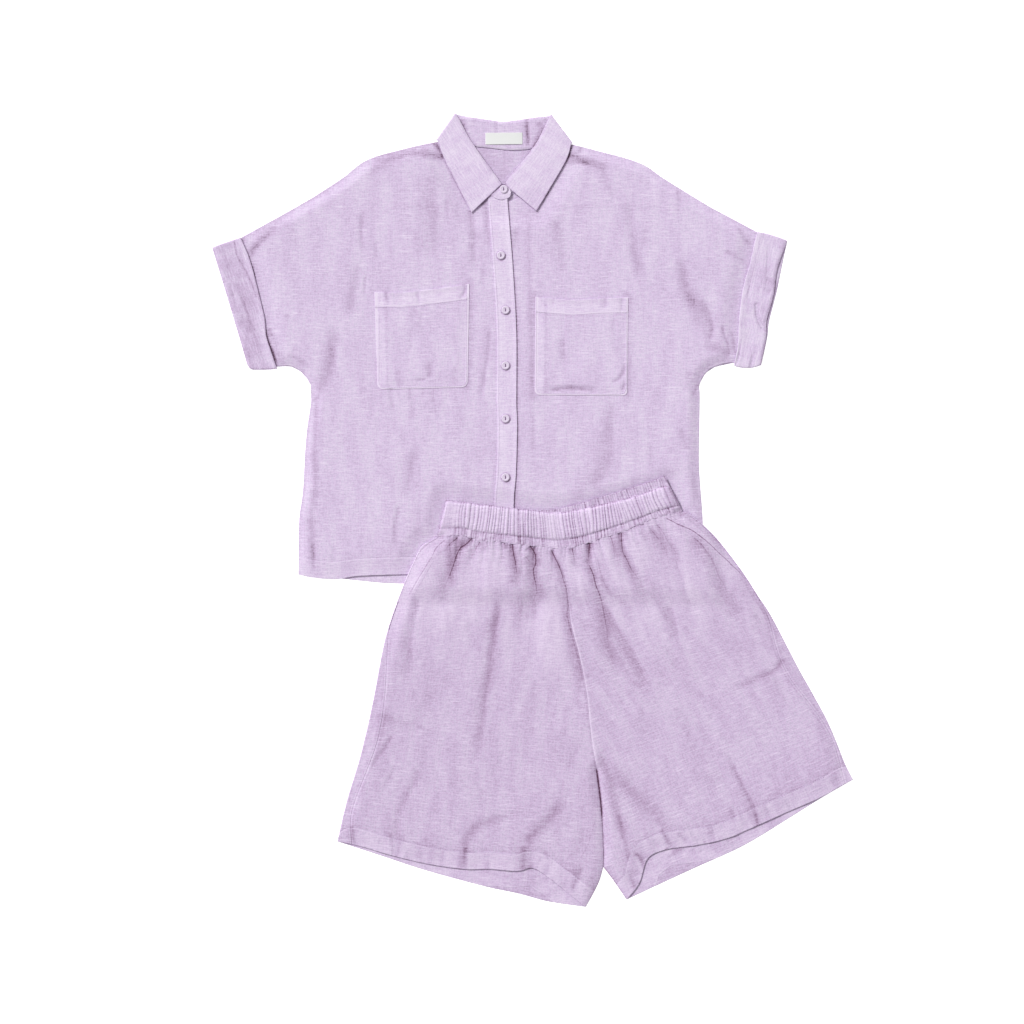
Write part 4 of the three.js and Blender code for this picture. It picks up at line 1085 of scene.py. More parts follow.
    def front(self, side: Side, cut: Cut) -> Piece:
        """One front with its half sleeve, cut in one: a body zone and a sleeve zone that share a line.

        Args:
            side: The wearer's side.
            cut: Its flat cut.

        Returns:
            The piece.
        """
        across, up, out = 165, 275, 70
        split = (SIDE_SEAM[side][-1], SHOULDER[side][-1])
        outer = Edge.of(up, SIDE_SEAM[side], split)
        middle = Edge.of(up, moved(PLACKET_LINE, -self.fronts_meet + 0.2 * side.value))
        hem = Edge.of(across, FRONT_HEM[side])
        u, v = stops(across, 263.0), stops(up, 490.0)
        corner = outer.corners[0]
        shared = v >= corner - 1e-9
        w = (v[shared] - corner) / (1.0 - corner)
        seam_line, end = Edge.of(1, split), Edge.of(1, SLEEVE_END[side])
        if side is Side.RIGHT:
            body = patch(hem, middle, Edge.of(across, SHOULDER[side][::-1], NECK[side]), outer, u, v)
            under, over = Edge.of(out, UNDERARM[side]), Edge.of(out, SLEEVE_TOP[side][::-1])
            sleeve = patch(under, seam_line, over, end, stops(out, 110.0), w)
            sleeve[:, -1] = body[shared, 0]
        else:
            body = patch(hem, outer, Edge.of(across, NECK[side], SHOULDER[side]), middle, u, v)
            under, over = Edge.of(out, UNDERARM[side][::-1]), Edge.of(out, SLEEVE_TOP[side])
            sleeve = patch(under, end, over, seam_line, stops(out, 110.0), w)
            sleeve[:, 0] = body[shared, -1]
        cloth = self._front_cloth()
        name = f"front_{side.name.lower()}"
        return self.tailor.sew(name, [cloth.lay(body), cloth.lay(sleeve)], self.wall, cut, ("shirt_back",))

    # -- what lies under the fronts
    def back(self, cut: Cut) -> Piece:
        """The back below the yoke seam, with its half sleeves up to the cuffs.

        Args:
            cut: Its flat cut.

        Returns:
            The piece.
        """
        across, up, out = 60, 60, 12
        flat = Cloth(lambda x, y: np.full(np.shape(x), 0.05 + self.wall),
                     doubled=lambda x, y: distance(BACK_HEM, x, y) - self.hem,
                     seam=lambda x, y: np.abs(distance(BACK_HEM, x, y) - self.hem))
        sides = {}
        for side in Side:
            joint = (SIDE_SEAM[side][-1], (side.value * (250 if side is Side.RIGHT else 242), 491))
            sides[side] = (joint, Edge.of(up, SIDE_SEAM[side], joint))
        tops = {side: sides[side][0][-1] for side in Side}
        u, v = stops(across, 520.0), stops(up, 480.0)
        right, left = sides[Side.RIGHT][1], sides[Side.LEFT][1]
        seam = Edge.of(across, (tops[Side.RIGHT], tops[Side.LEFT]))
        body = patch(Edge.of(across, BACK_HEM), left, seam, right, u, v)
        grids = [flat.lay(body)]
        for side in Side:
            joint, edge = sides[side]
            shared = v >= edge.corners[0] - 1e-9
            w = (v[shared] - edge.corners[0]) / (1.0 - edge.corners[0])
            sign = side.value
            free = moved(CUFF_FREE[side][::-1], -sign * 0.6)
            free = ((free[0][0], UNDERARM[side][2][1] + 0.6), *free[1:])
            foot, head = free[0], free[-1]
            crossing = (-271.5, 491) if side is Side.RIGHT else (266, 491)
            below = (foot, *UNDERARM[side][-3:])
            above = ((head, crossing), (crossing, joint[-1]))
            if side is Side.RIGHT:
                zone = patch(Edge.of(out, below), Edge.of(1, joint), Edge.of(out, *above), Edge.of(1, free),
                             stops(out, 50.0), w)
                zone[:, -1] = body[shared, 0]
            else:
                back_to = Edge.of(out, *(run[::-1] for run in above[::-1]))
                zone = patch(Edge.of(out, below[::-1]), Edge.of(1, free), back_to, Edge.of(1, joint),
                             stops(out, 50.0), w)
                zone[:, 0] = body[shared, -1]
            grids.append(flat.lay(zone))
        return self.tailor.sew("shirt_back", grids, self.wall, cut, ())

    def yoke(self, cut: Cut) -> Piece:
        """The yoke, whose inside shows in the neck.

        Args:
            cut: Its flat cut.

        Returns:
            The piece.
        """
        across, up = 110, 18
        top = Edge.of(across, ((-260, 497.5), *SHOULDER[Side.RIGHT][::-1]), BACK_NECK,
                      (*SHOULDER[Side.LEFT], (252, 499.4)))
        low = Edge.of(across, ((-271, 491.4), (265, 491.4)))
        right, left = Edge.of(1, ((-271, 491.4), (-260, 497.5))), Edge.of(1, ((265, 491.4), (252, 499.4)))
        flat = patch(low, left, top, right, stops(across, 536.0), stops(up, 75.0))
        cloth = Cloth(lambda x, y: 0.05 + self.wall + 0.1 * lumps(x, y, (30, 24), 6),
                      seam=lambda x, y: distance(BACK_NECK, x, y),
                      tone=lambda x, y: np.full(np.shape(x), -0.25))
        return self.tailor.sew("back_yoke", [cloth.lay(flat)], self.wall, cut, ("shirt_back",))

    # -- what lies on the fronts
    def placket(self, cut: Cut) -> Piece:
        """The buttoned band: it follows the fronts' face, a step above it, and its left edge stands proud.

        Args:
            cut: Its flat cut.

        Returns:
            The piece.
        """
        rows, columns, half = 340, 26, self.placket_half
        middle = (*PLACKET_LINE, (-10.8, 507))
        sides = [Edge.of(rows, moved(middle, dx)) for dx in (-half, half)]
        ends = [Edge.of(columns, tuple(tuple(side.points[k]) for side in sides)) for k in (0, -1)]
        flat = patch(ends[0], sides[1], ends[1], sides[0], stops(columns, 2 * half), stops(rows, 490.0))
        line = curve(middle)

        def height(x: Array, y: Array) -> Array:
            """The fronts' face smoothed across the band, plus its step and its curled edge.

            Args:
                x: Places across.
                y: Places up.

            Returns:
                The height.
            """
            off, side, _ = nearest(line, x, y)
            across = off * np.where(side > 0, -1, 1)
            curl = 0.5 * smooth(across, half - 5, half) - 0.15 * smooth(-across, half - 3, half)
            return self.top(x, y) + 1.05 + curl + 0.1 * lumps(x, y, (16, 38), 21)

        def tone(x: Array, y: Array) -> Array:
            """Pale, with a ring of painted shade about each button and the leaf's painted shadow."""
            rings = [bell(np.hypot(x - a - 0.4, y - b + 0.5) - 5.7, 1.1) for a, b in BUTTON_PLACES]
            return 0.40 + LEAF_PAINTED_SHADOW.height(x, y) - 1.7 * np.maximum.reduce(rings)

        cloth = Cloth(height, tone=tone)
        return self.tailor.sew("placket_right", [cloth.lay(flat)], 0.85, cut, ("front_right", "front_left"))

    def pocket(self, side: Side, cut: Cut) -> Piece:
        """A patch pocket: it hugs the front where it is stitched and stands off it under its band.

        Args:
            side: The wearer's side.
            cut: Its flat cut.

        Returns:
            The piece.
        """
        left, right, *upper = POCKET[side]
        columns, rows, band, radius = 90, 98, 19.0, 8.0 if side is Side.RIGHT else 6.0
        bottom, top = Edge.of(1, (left, right)), Edge.of(1, tuple(upper[::-1]))
        width, height = right[0] - left[0], upper[0][1] - right[1]
        u, v = np.meshgrid(stops(columns, width), stops(rows, height))

        across, up = u * width, v * height
        ends = (np.maximum(radius - across, 0.0) - np.maximum(across - width + radius, 0.0)) / radius
        foot = np.maximum(radius - up, 0.0) / radius
        across = across + radius * (ends - ends * np.sqrt(1 - 0.5 * foot**2))
        up = up + radius * (foot - foot * np.sqrt(1 - 0.5 * ends**2))
        share, rise = across / width, up / height
        flat = bottom(share) * (1 - rise[..., None]) + top(share) * rise[..., None]

        to_side = np.minimum(across, width - across)
        stitched = np.minimum(to_side, up)
        x, y = flat[..., 0], flat[..., 1]
        under_band = smooth(rise * height, height - band - 2.0, height - band + 2.0)
        bulge = 0.55 * smooth(stitched, 1.5, 16.0) * (1 + 0.5 * lumps(x, y, (21, 26), 31 + side.value))
        mouth = 0.5 * smooth(rise * height, height - 7.0, height) * smooth(to_side, 2.0, 14.0)
        face = self.top(x, y) + 0.6 + bulge + mouth + 0.16 * under_band
        own = total(POCKET_CREASES[side], x, y)
        face = face + 0.6 * np.maximum(own, -1.2) * smooth(stitched, 0.5, 4.0)
        cloth = Cloth(self.top)
        grid = cloth.shape(np.stack([x, y, face], axis=-1))
        over_band = rise * height - height + band
        grid.edges[..., 0] = np.where(over_band > 0, -1.0, 1.0) * np.abs(over_band)
        # Tone: pale outlines along the folded edges, paler along the bottom as painted light against its
        # shade; a painted highlight on the band's lower edge with painted shadow under it; the seam
        # allowance; painted shade in the creases; the doubled band paler.
        wide = {Side.RIGHT: (4.2, 3.4), Side.LEFT: (3.6, 3.0)}[side]
        outline = np.maximum(1 - smooth(across, wide[0] - 1.2, wide[0] + 0.4),
                             1 - smooth(width - across, wide[1] - 1.2, wide[1] + 0.4))
        outline = np.maximum(outline, 1.5 * (1 - smooth(up, 1.4, 2.8)))
        under_line = bell(over_band, 1.1) * 0.95 - bell(over_band + 2.2, 1.1) * 0.35
        allowance = 0.12 * (1 - smooth(to_side, 10.5, 11.5)) - 0.35 * bell(across - 13.5, 2.2)
        crossing = 0.75 * np.minimum(own, 0) + 0.3 * np.minimum(total(SHIRT_CREASES, x, y), 0)
        grid.tone[...] = 0.03 + 0.75 * outline + allowance + crossing + under_line + 0.22 * under_band
        under = f"front_{side.name.lower()}"
        return self.tailor.sew(f"pocket_{side.name.lower()}", [grid], 0.5, cut, (under,))

    def cuff(self, side: Side, cut: Cut) -> Piece:
        """A turned-up cuff pressed flat: a tube round the sleeve's end, open at both its edges.

        Args:
            side: The wearer's side.
            cut: Its flat cut.

        Returns:
            The piece.
        """
        along, around, level, floor, reach = 30, 76, 3.35, 0.05, 1.65
        hand, behind = Edge.of(1, CUFF_HAND[side][::-1]), Edge.of(1, CUFF_HAND_BACK[side][::-1])
        free = Edge.of(1, CUFF_FREE[side][::-1])
        c = stops(along, 36.0)[None, :, None]
        inset = reach / 170.0
        w = inset + (1 - 2 * inset) * np.arange(around + 1) / around

        sag = (3.6, 1.6) if side is Side.LEFT else (0.8, 0.6)

        def over(edge: Edge, t: Array) -> Array:
            """The ruled surface from the hand's edge to the free one, whose ends bulge at the arm's edges.

            Args:
                edge: The hand's edge of one layer.
                t: Stops along it.

            Returns:
                Places, (rows, columns, 2).
            """
            flat = (1 - c) * edge(t)[:, None] + c * free(t)[:, None]
            ends = sag[1] * smooth(t, 0.9, 1.0) - sag[0] * (1 - smooth(t, 0.0, 0.1))
            flat[..., 1] += ends[:, None] * (4 * c * (1 - c))[..., 0] ** 0.8
            return flat

        def own(x: Array, y: Array) -> Array:
            """The cuff's own creases."""
            return total(CUFF_CREASES[side], x, y)

        def face(flat: Array) -> Array:
            """The upper layer's points: it droops at the hand's edge and waves along its free one.

            Args:
                flat: Its places.

            Returns:
                Its points.
            """
            x, y = flat[..., 0], flat[..., 1]
            from_hand = c[..., 0]
            droop = -1.0 * (1 - smooth(from_hand * 36.0, 0.0, 5.0)) ** 2
            wave = 0.35 * lumps(x, y, (24, 30), 41 + side.value) * smooth(from_hand, 0.1, 0.9)
            wave = wave + 0.12 * lumps(x, y, (9, 12), 45) + 0.7 * smooth(from_hand, 0.7, 1.0) + own(x, y)
            return np.concatenate([flat, (level + droop + wave)[..., None]], axis=-1)

        upper = face(over(hand, w))
        lower = over(behind, w[::-1])
        lower = np.concatenate([lower, np.full(lower.shape[:2] + (1,), floor)], axis=-1)
        turns = []
        for at, edge_row, other_row in ((1.0, upper[-1], lower[0]), (0.0, upper[0], lower[-1])):
            ends = over(hand, np.array([at, 1 - at]))
            half = turned(ends[0], unit(ends[1] - ends[0]), np.full(len(ends[0]), reach), edge_row[:, 2],
                          other_row[:, 2], 8)
            turns.append(np.swapaxes(half, 0, 1))
        points = np.concatenate([upper, turns[0], lower, turns[1][::-1], upper[:1]])
        if side is Side.LEFT:
            points = points[:, ::-1]
        line = CUFF_STITCHED[side]
        deep, turn = (1.0, -73.0) if side is Side.RIGHT else (0.6, 78.0)
        c0, s0 = math.cos(math.radians(turn)), math.sin(math.radians(turn))
        plain = -0.34 if side is Side.RIGHT else 0.12

        def tone(x: Array, y: Array) -> Array:
            """A pale strip beside the free edge, paler at the edge on the left cuff, painted shadow along it
            on the right cuff, a darker stitching line, painted shade at the hand's edge on the left cuff, and
            painted shade in the creases.

            Args:
                x: Places across.
                y: Places up.

            Returns:
                The tone.
            """
            off, _, share = nearest(curve(CUFF_FREE[side]), x, y)
            strip = 0.35 * bell(off - 3.5, 3.5) + 0.5 * bell(off, 1.4) * (side is Side.LEFT)
            rim = -0.9 * (side is Side.RIGHT) * bell(off, 0.9) * (0.6 + 0.4 * np.cos(9.0 * share))
            stitching = -deep * bell(distance(line, x, y), 0.9)
            hand = -1.0 * bell(distance(CUFF_HAND[side], x, y), 1.3) * (side is Side.LEFT)
            streaks = 0.26 * lumps(c0 * x + s0 * y, c0 * y - s0 * x, (46, 7), 47)
            return plain + strip + rim + stitching + hand + streaks + 0.75 * np.minimum(own(x, y), 0.0)

        cloth = Cloth(self.top, tone=tone, grain=lambda x, y: (c0 * x + s0 * y, c0 * y - s0 * x))
        word = side.name.lower()
        grid = cloth.shape(points)
        return self.tailor.sew(f"cuff_{word}", [grid], 0.7, cut, (f"front_{word}", "shirt_back"))

    # -- the neck
    def _folded(self, roll: dict[Side, Points], outer: dict[Side, Points], back: tuple[Points, Points],
                high: Field, low: float, reach: float, counts: tuple[int, int, int]) -> Array:
        """A band folded at both its ends over its own back part, like a collar laid flat.

        Rows run from its roll line to its outer edge. Columns run along it: the right front part, the turn
        under, the back part seen from below, the turn up, and the left front part.

        Args:
            roll: For each side, the roll line from the front to the fold.
            outer: For each side, the outer edge from the front to the fold.
            back: The back part's roll line and outer edge, from the right fold to the left.
            high: The front parts' height at (x, y) and the share of the way from roll line to outer edge.
            low: The back part's height.
            reach: How far in the turns start.
            counts: Steps along a front part, along the back part and across.

        Returns:
            The points, (rows, columns, 3).
        """
        front, behind, across = counts
        t = stops(across, 36.0)[:, None, None]
        leaves, folds = {}, {}
        for side in Side:
            a, b = np.asarray(roll[side][-1], float), np.asarray(outer[side][-1], float)
            fold = (1 - t[:, 0]) * a + t[:, 0] * b
            normal = unit(np.array([(a - b)[1], -(a - b)[0]])) * -side.value
            folds[side] = (fold, np.broadcast_to(normal, fold.shape))
            s = stops(front, 100.0)[:-2] if front > 8 else np.arange(front) / front
            s = np.append(s, 1.0)
            flat = (1 - t) * Edge.of(1, roll[side])(s)[None] + t * Edge.of(1, outer[side])(s)[None]
            flat = flat + normal * reach * smooth(s, 0.6, 1.0)[None, :, None]
            height = high(flat, np.broadcast_to(t[..., 0], flat.shape[:2]))
            leaves[side] = np.concatenate([flat, height[..., None]], axis=-1)
        s = np.arange(behind + 1) / behind
        flat = (1 - t) * Edge.of(1, back[0])(s)[None] + t * Edge.of(1, back[1])(s)[None]
        for side, near in ((Side.RIGHT, 1 - smooth(s, 0.0, 0.25)), (Side.LEFT, smooth(s, 0.75, 1.0))):
            flat = flat + folds[side][1][:, None] * reach * near[None, :, None]
        under = np.concatenate([flat, np.full(flat.shape[:2] + (1,), low)], axis=-1)
        turns = {}
        for side in Side:
            fold, inward = folds[side]
            turns[side] = turned(fold, inward, np.full(len(fold), reach), leaves[side][:, -1, 2],
                                 np.full(len(fold), low), 10)
        return np.concatenate([leaves[Side.RIGHT], turns[Side.RIGHT], under, turns[Side.LEFT][:, ::-1],
                               leaves[Side.LEFT][:, ::-1]], axis=1)

    def stand(self, cut: Cut) -> Piece:
        """The collar stand: its back's inside shows in the neck, and its right end is the first button's tab.

        Args:
            cut: Its flat cut.

        Returns:
            The piece.
        """
        back = (((-62, 607), *moved(ROLL_BACK[1:-1], 0, -1.2), (57, 605)),
                ((-62, 578), *moved(BACK_NECK[1:-1], 0, 0.5), (60, 578)))

        def high(flat: Array, t: Array) -> Array:
            """The front parts' level, which rises on to the placket at the tab."""
            return 3.55 + 0.65 * smooth(t, 0.2, 0.6) * (1 - smooth(flat[..., 1], 508.0, 522.0))

        points = self._folded(STAND_ROLL, STAND_SEAM, back, high, 1.3, 1.1, (44, 90, 22))
        points[..., 2] += 0.45 * total(STAND_CREASES, points[..., 0], points[..., 1]) * (points[..., 1] > 560)

        def tone(x: Array, y: Array) -> Array:
            """Painted shade beside the leaves' roll lines and down in its creases, painted light along its
            seam with the yoke, and pale on the tab with the leaf's painted shadow.

            Args:
                x: Places across.
                y: Places up.

            Returns:
                The tone.
            """
            off = [nearest(curve(LEAF_ROLL[side]), x, y)[0] for side in Side]
            dark = 1.8 * bell(off[0], 1.6) + 1.2 * bell(off[1], 1.8)
            inside = smooth(y, 540.0, 560.0)
            dark = dark - 0.9 * bell(distance(BACK_NECK, x, y), 1.1)
            tab = 0.5 + LEAF_PAINTED_SHADOW.height(x, y)
            return inside * (total(STAND_CREASES, x, y) - dark) + tab * (1 - inside)

        cloth = Cloth(self.top, tone=tone)
        return self.tailor.sew("collar_stand", [cloth.shape(points)], 0.75, cut, ("back_yoke", "front_right"))

    def collar(self, cut: Cut) -> Piece:
        """The collar: two leaves over the fronts and the fall under the neck.

        Args:
            cut: Its flat cut.

        Returns:
            The piece.
        """

        def high(flat: Array, t: Array) -> Array:
            """A leaf rounds up from its roll line, lies level and comes down a little to its outer edge.

            Args:
                flat: Places.
                t: The share of the way from the roll line to the outer edge.

            Returns:
                The height.
            """
            x, y = flat[..., 0], flat[..., 1]
            round_up = np.where(x < 0, -1.1, -0.6) * (1 - smooth(t * 36.0, 0.0, 2.6)) ** 1.5
            settle = -0.4 * smooth(t, 0.45, 1.0)
            return 5.1 + round_up + settle + 0.14 * lumps(x, y, (17, 23), 51) + 0.05 * lumps(x, y, (6, 8), 52)

        points = self._folded(LEAF_ROLL, LEAF_OUTER, (ROLL_BACK, FALL_EDGE), high, 0.05, 2.3, (46, 40, 30))
        rolls = [curve(LEAF_ROLL[side]) for side in Side]
        outers = [curve(LEAF_OUTER[side]) for side in Side]
        fronts = {side: curve((LEAF_ROLL[side][0], LEAF_OUTER[side][0])) for side in Side}

        def tone(x: Array, y: Array) -> Array:
            """Pale, with painted shade along its roll lines, outer edges and front edges, and towards the
            left leaf's tip.

            Args:
                x: Places across.
                y: Places up.

            Returns:
                The tone.
            """
            dark = 0.75 * bell(nearest(rolls[1], x, y)[0], 2.2)
            dark = dark + 0.2 * bell(nearest(rolls[0], x, y)[0], 1.5)
            dark = dark + sum(0.5 * bell(nearest(line, x, y)[0], 1.2) for line in outers)
            dark = dark + sum(0.4 * bell(nearest(line, x, y)[0], 1.2) for line in fronts.values())
            dark = dark + 0.25 * bell(x - 37, 12) * bell(y - 505, 14)
            return 0.42 - dark + 0.12 * lumps(x - y, x + y, (13, 40), 53)

        def grain(x: Array, y: Array) -> tuple[Array, Array]:
            """The weft runs along each leaf."""
            angle = np.where(x < 0, math.radians(-56.0), math.radians(55.0))
            return np.cos(angle) * x + np.sin(angle) * y, np.cos(angle) * y - np.sin(angle) * x

        grid = Cloth(self.top, tone=tone, grain=grain).shape(points)
        return self.tailor.sew("collar", [grid], 1.0, cut, ("collar_stand", "front_right", "front_left"))

    def label(self, material: Material, cut: Cut) -> Piece:
        """The bare woven label inside the neck, bulging a little between its stitched ends.

        Args:
            material: Its finish.
            cut: Its flat cut.

        Returns:
            The piece.
        """
        u, v = np.meshgrid(stops(30, 48.0), stops(10, 15.0))
        turn = math.radians(0.5)
        across, up = (u - 0.5) * 48.0, (v - 0.5) * 15.0
        x = -2 + across * math.cos(turn) - up * math.sin(turn)
        y = 580 + across * math.sin(turn) + up * math.cos(turn)
        z = 2.5 + 0.5 * (1 - (2 * u - 1) ** 4) + 0.08 * lumps(x, y, (9, 7), 61)
        grid = Cloth(self.top).shape(np.stack([x, y, z], axis=-1))
        tailor = replace(self.tailor, slot="woven_label", material=material)
        return tailor.sew("neck_label", [grid], 0.3, cut, ("collar_stand",))


# ---------------------------------------------------------------- the buttons
@dataclass(frozen=True)
class Button:
    """A two-hole disc with a raised rim, in millimetres, sewn on with a bar of thread."""

    radius: float = 5.2
    edge: float = 1.3
    rim: float = 1.75
    dish: float = 1.45
    dish_radius: float = 3.7
    hole: float = 0.75
    hole_off: float = 1.45

    def _profile(self, r: Array) -> Array:
        """The upper face's height: a flat dish, a smooth rise to the rim and a round fall to the edge.

        Args:
            r: Distances from the centre.

        Returns:
            The height.
        """
        rise = (self.rim - self.dish) * smooth(r, self.dish_radius - 0.6, self.radius - 1.3)
        fall = (self.rim - self.edge) * np.clip((r - self.radius + 1.1) / 1.1, 0, 1) ** 2
        return self.dish + rise - fall

    def _half(self, steps: int, rings: int) -> Array:
        """The upper half of the face: rings from its hole out to the half disc's own outline.

        Args:
            steps: Steps round the hole.
            rings: Rings over most of the way out.

        Returns:
            Places, (rings, steps, 2).
        """
        angle = np.linspace(0, 2 * math.pi, steps + 1)
        corner = math.atan2(-self.hole_off, self.radius)
        low, high = corner, math.pi - corner
        share = np.linspace(0, 1, steps // 2 + 1)
        angle = np.concatenate([low + (high - low) * share, high + (2 * math.pi + low - high) * share[1:]])
        c, s = np.cos(angle), np.sin(angle)
        far = -s * self.hole_off + np.sqrt(np.maximum(self.radius**2 - (self.hole_off * c) ** 2, 0))
        straight = np.where(s < -1e-6, -self.hole_off / np.minimum(s, -1e-6), np.inf)
        reach = np.minimum(far, straight)
        t = np.concatenate([np.linspace(0, 0.8, rings), [0.88, 0.94, 0.98, 1.0]])[:, None]
        ray = self.hole + (reach - self.hole)[None] * t
        return np.stack([ray * c, self.hole_off + ray * s], axis=-1)

    def solid(self, centre: tuple[float, float, float]) -> tuple[Array, tuple[Array, ...]]:
        """The disc's points and faces about its centre.

        Args:
            centre: The middle of its foot.

        Returns:
            The points and the faces.
        """
        upper = self._half(48, 6)
        upper[-1, np.abs(upper[-1, :, 1]) < 1e-6, 1] = 0.0
        halves = [upper, upper[:, ::-1] * [1, -1]]
        grids = []
        for half in halves:
            z = self._profile(np.hypot(half[..., 0], half[..., 1]))
            points = np.concatenate([half, z[..., None]], axis=-1)[:, ::-1]
            blank = np.zeros(points.shape[:2] + (2,))
            grids.append(Grid(points, blank, blank, blank[..., 0], blank))
        wall = Wall.behind(grids, 0.9, foot=0.0, bulge=0.18, coarse=1)
        return wall.points + np.asarray(centre), wall.faces

    def thread(self, centre: tuple[float, float, float]) -> list[tuple[Array, Array]]:
        """Four strands from hole to hole, as the ends of Stitches.

        Args:
            centre: The middle of the disc's foot.

        Returns:
            Each strand's ends.
        """
        x, y, z = centre
        strands = []
        for dx in (-0.42, -0.14, 0.14, 0.42):
            low = np.array([x + dx, y - self.hole_off - 0.1, z + self.dish + 0.05])
            strands.append((low, low + [0, 2 * self.hole_off + 0.2, 0.0]))
        return strands


@dataclass
class Stitches:
    """Stitches of one thread: a short capsule between each pair of ends, six-sided."""

    radius: float = 0.22
    length: float = 2.4
    pitch: float = 3.1
    starts: list[Array] = field(default_factory=list)
    ends: list[Array] = field(default_factory=list)

    def run(self, line: Points | Array, top: Field) -> None:
        """Sews along a line over a surface; each stitch dips at its ends.

        Args:
            line: The line.
            top: The surface's height.
        """
        path = curve(line) if isinstance(line, tuple) else line
        run = travelled(path)
        first = np.arange(0.5, run[-1] - self.length, self.pitch)
        for at, into in ((first, self.starts), (first + self.length, self.ends)):
            flat = np.stack([np.interp(at, run, path[:, k]) for k in (0, 1)], axis=-1)
            into.append(np.concatenate([flat, (top(flat[:, 0], flat[:, 1]) + 0.06)[:, None]], axis=-1))

    def mesh(self) -> tuple[Array, tuple[Array, ...]]:
        """All the capsules: rings at shares 0, 0.12, 0.88 and 1 of the length, narrow at both ends.

        Returns:
            The points and the faces.
        """
        a, b = np.concatenate(self.starts), np.concatenate(self.ends)
        along = unit(b - a)
        side = unit(np.cross(along, [0.0, 0.0, 1.0]))
        up = np.cross(side, along)
        angle = np.arange(6) * math.pi / 3
        rings = []
        for share, size in ((0.0, 0.35), (0.12, 1.0), (0.88, 1.0), (1.0, 0.35)):
            centre = a + (b - a) * share
            rise = self.radius * (0.5 if 0.1 < share < 0.9 else -0.4)
            around = np.cos(angle)[None, :, None] * side[:, None] + np.sin(angle)[None, :, None] * up[:, None]
            rings.append(centre[:, None] + [0, 0, rise] + self.radius * size * around)
        points = np.stack(rings, axis=1)
        count = len(a)
        index = np.arange(count * 24).reshape(count, 4, 6)
        after = np.roll(index, -1, axis=2)
        sides = np.stack([index[:, :-1], after[:, :-1], after[:, 1:], index[:, 1:]], axis=-1).reshape(-1, 4)
        caps = [index[:, row, corners] for row, corners in (
            (0, [3, 2, 1, 0]), (0, [5, 4, 3, 0]), (3, [0, 1, 2, 3]), (3, [0, 3, 4, 5]))]
        return points.reshape(-1, 3), (np.concatenate([sides[:, ::-1], *caps]),)


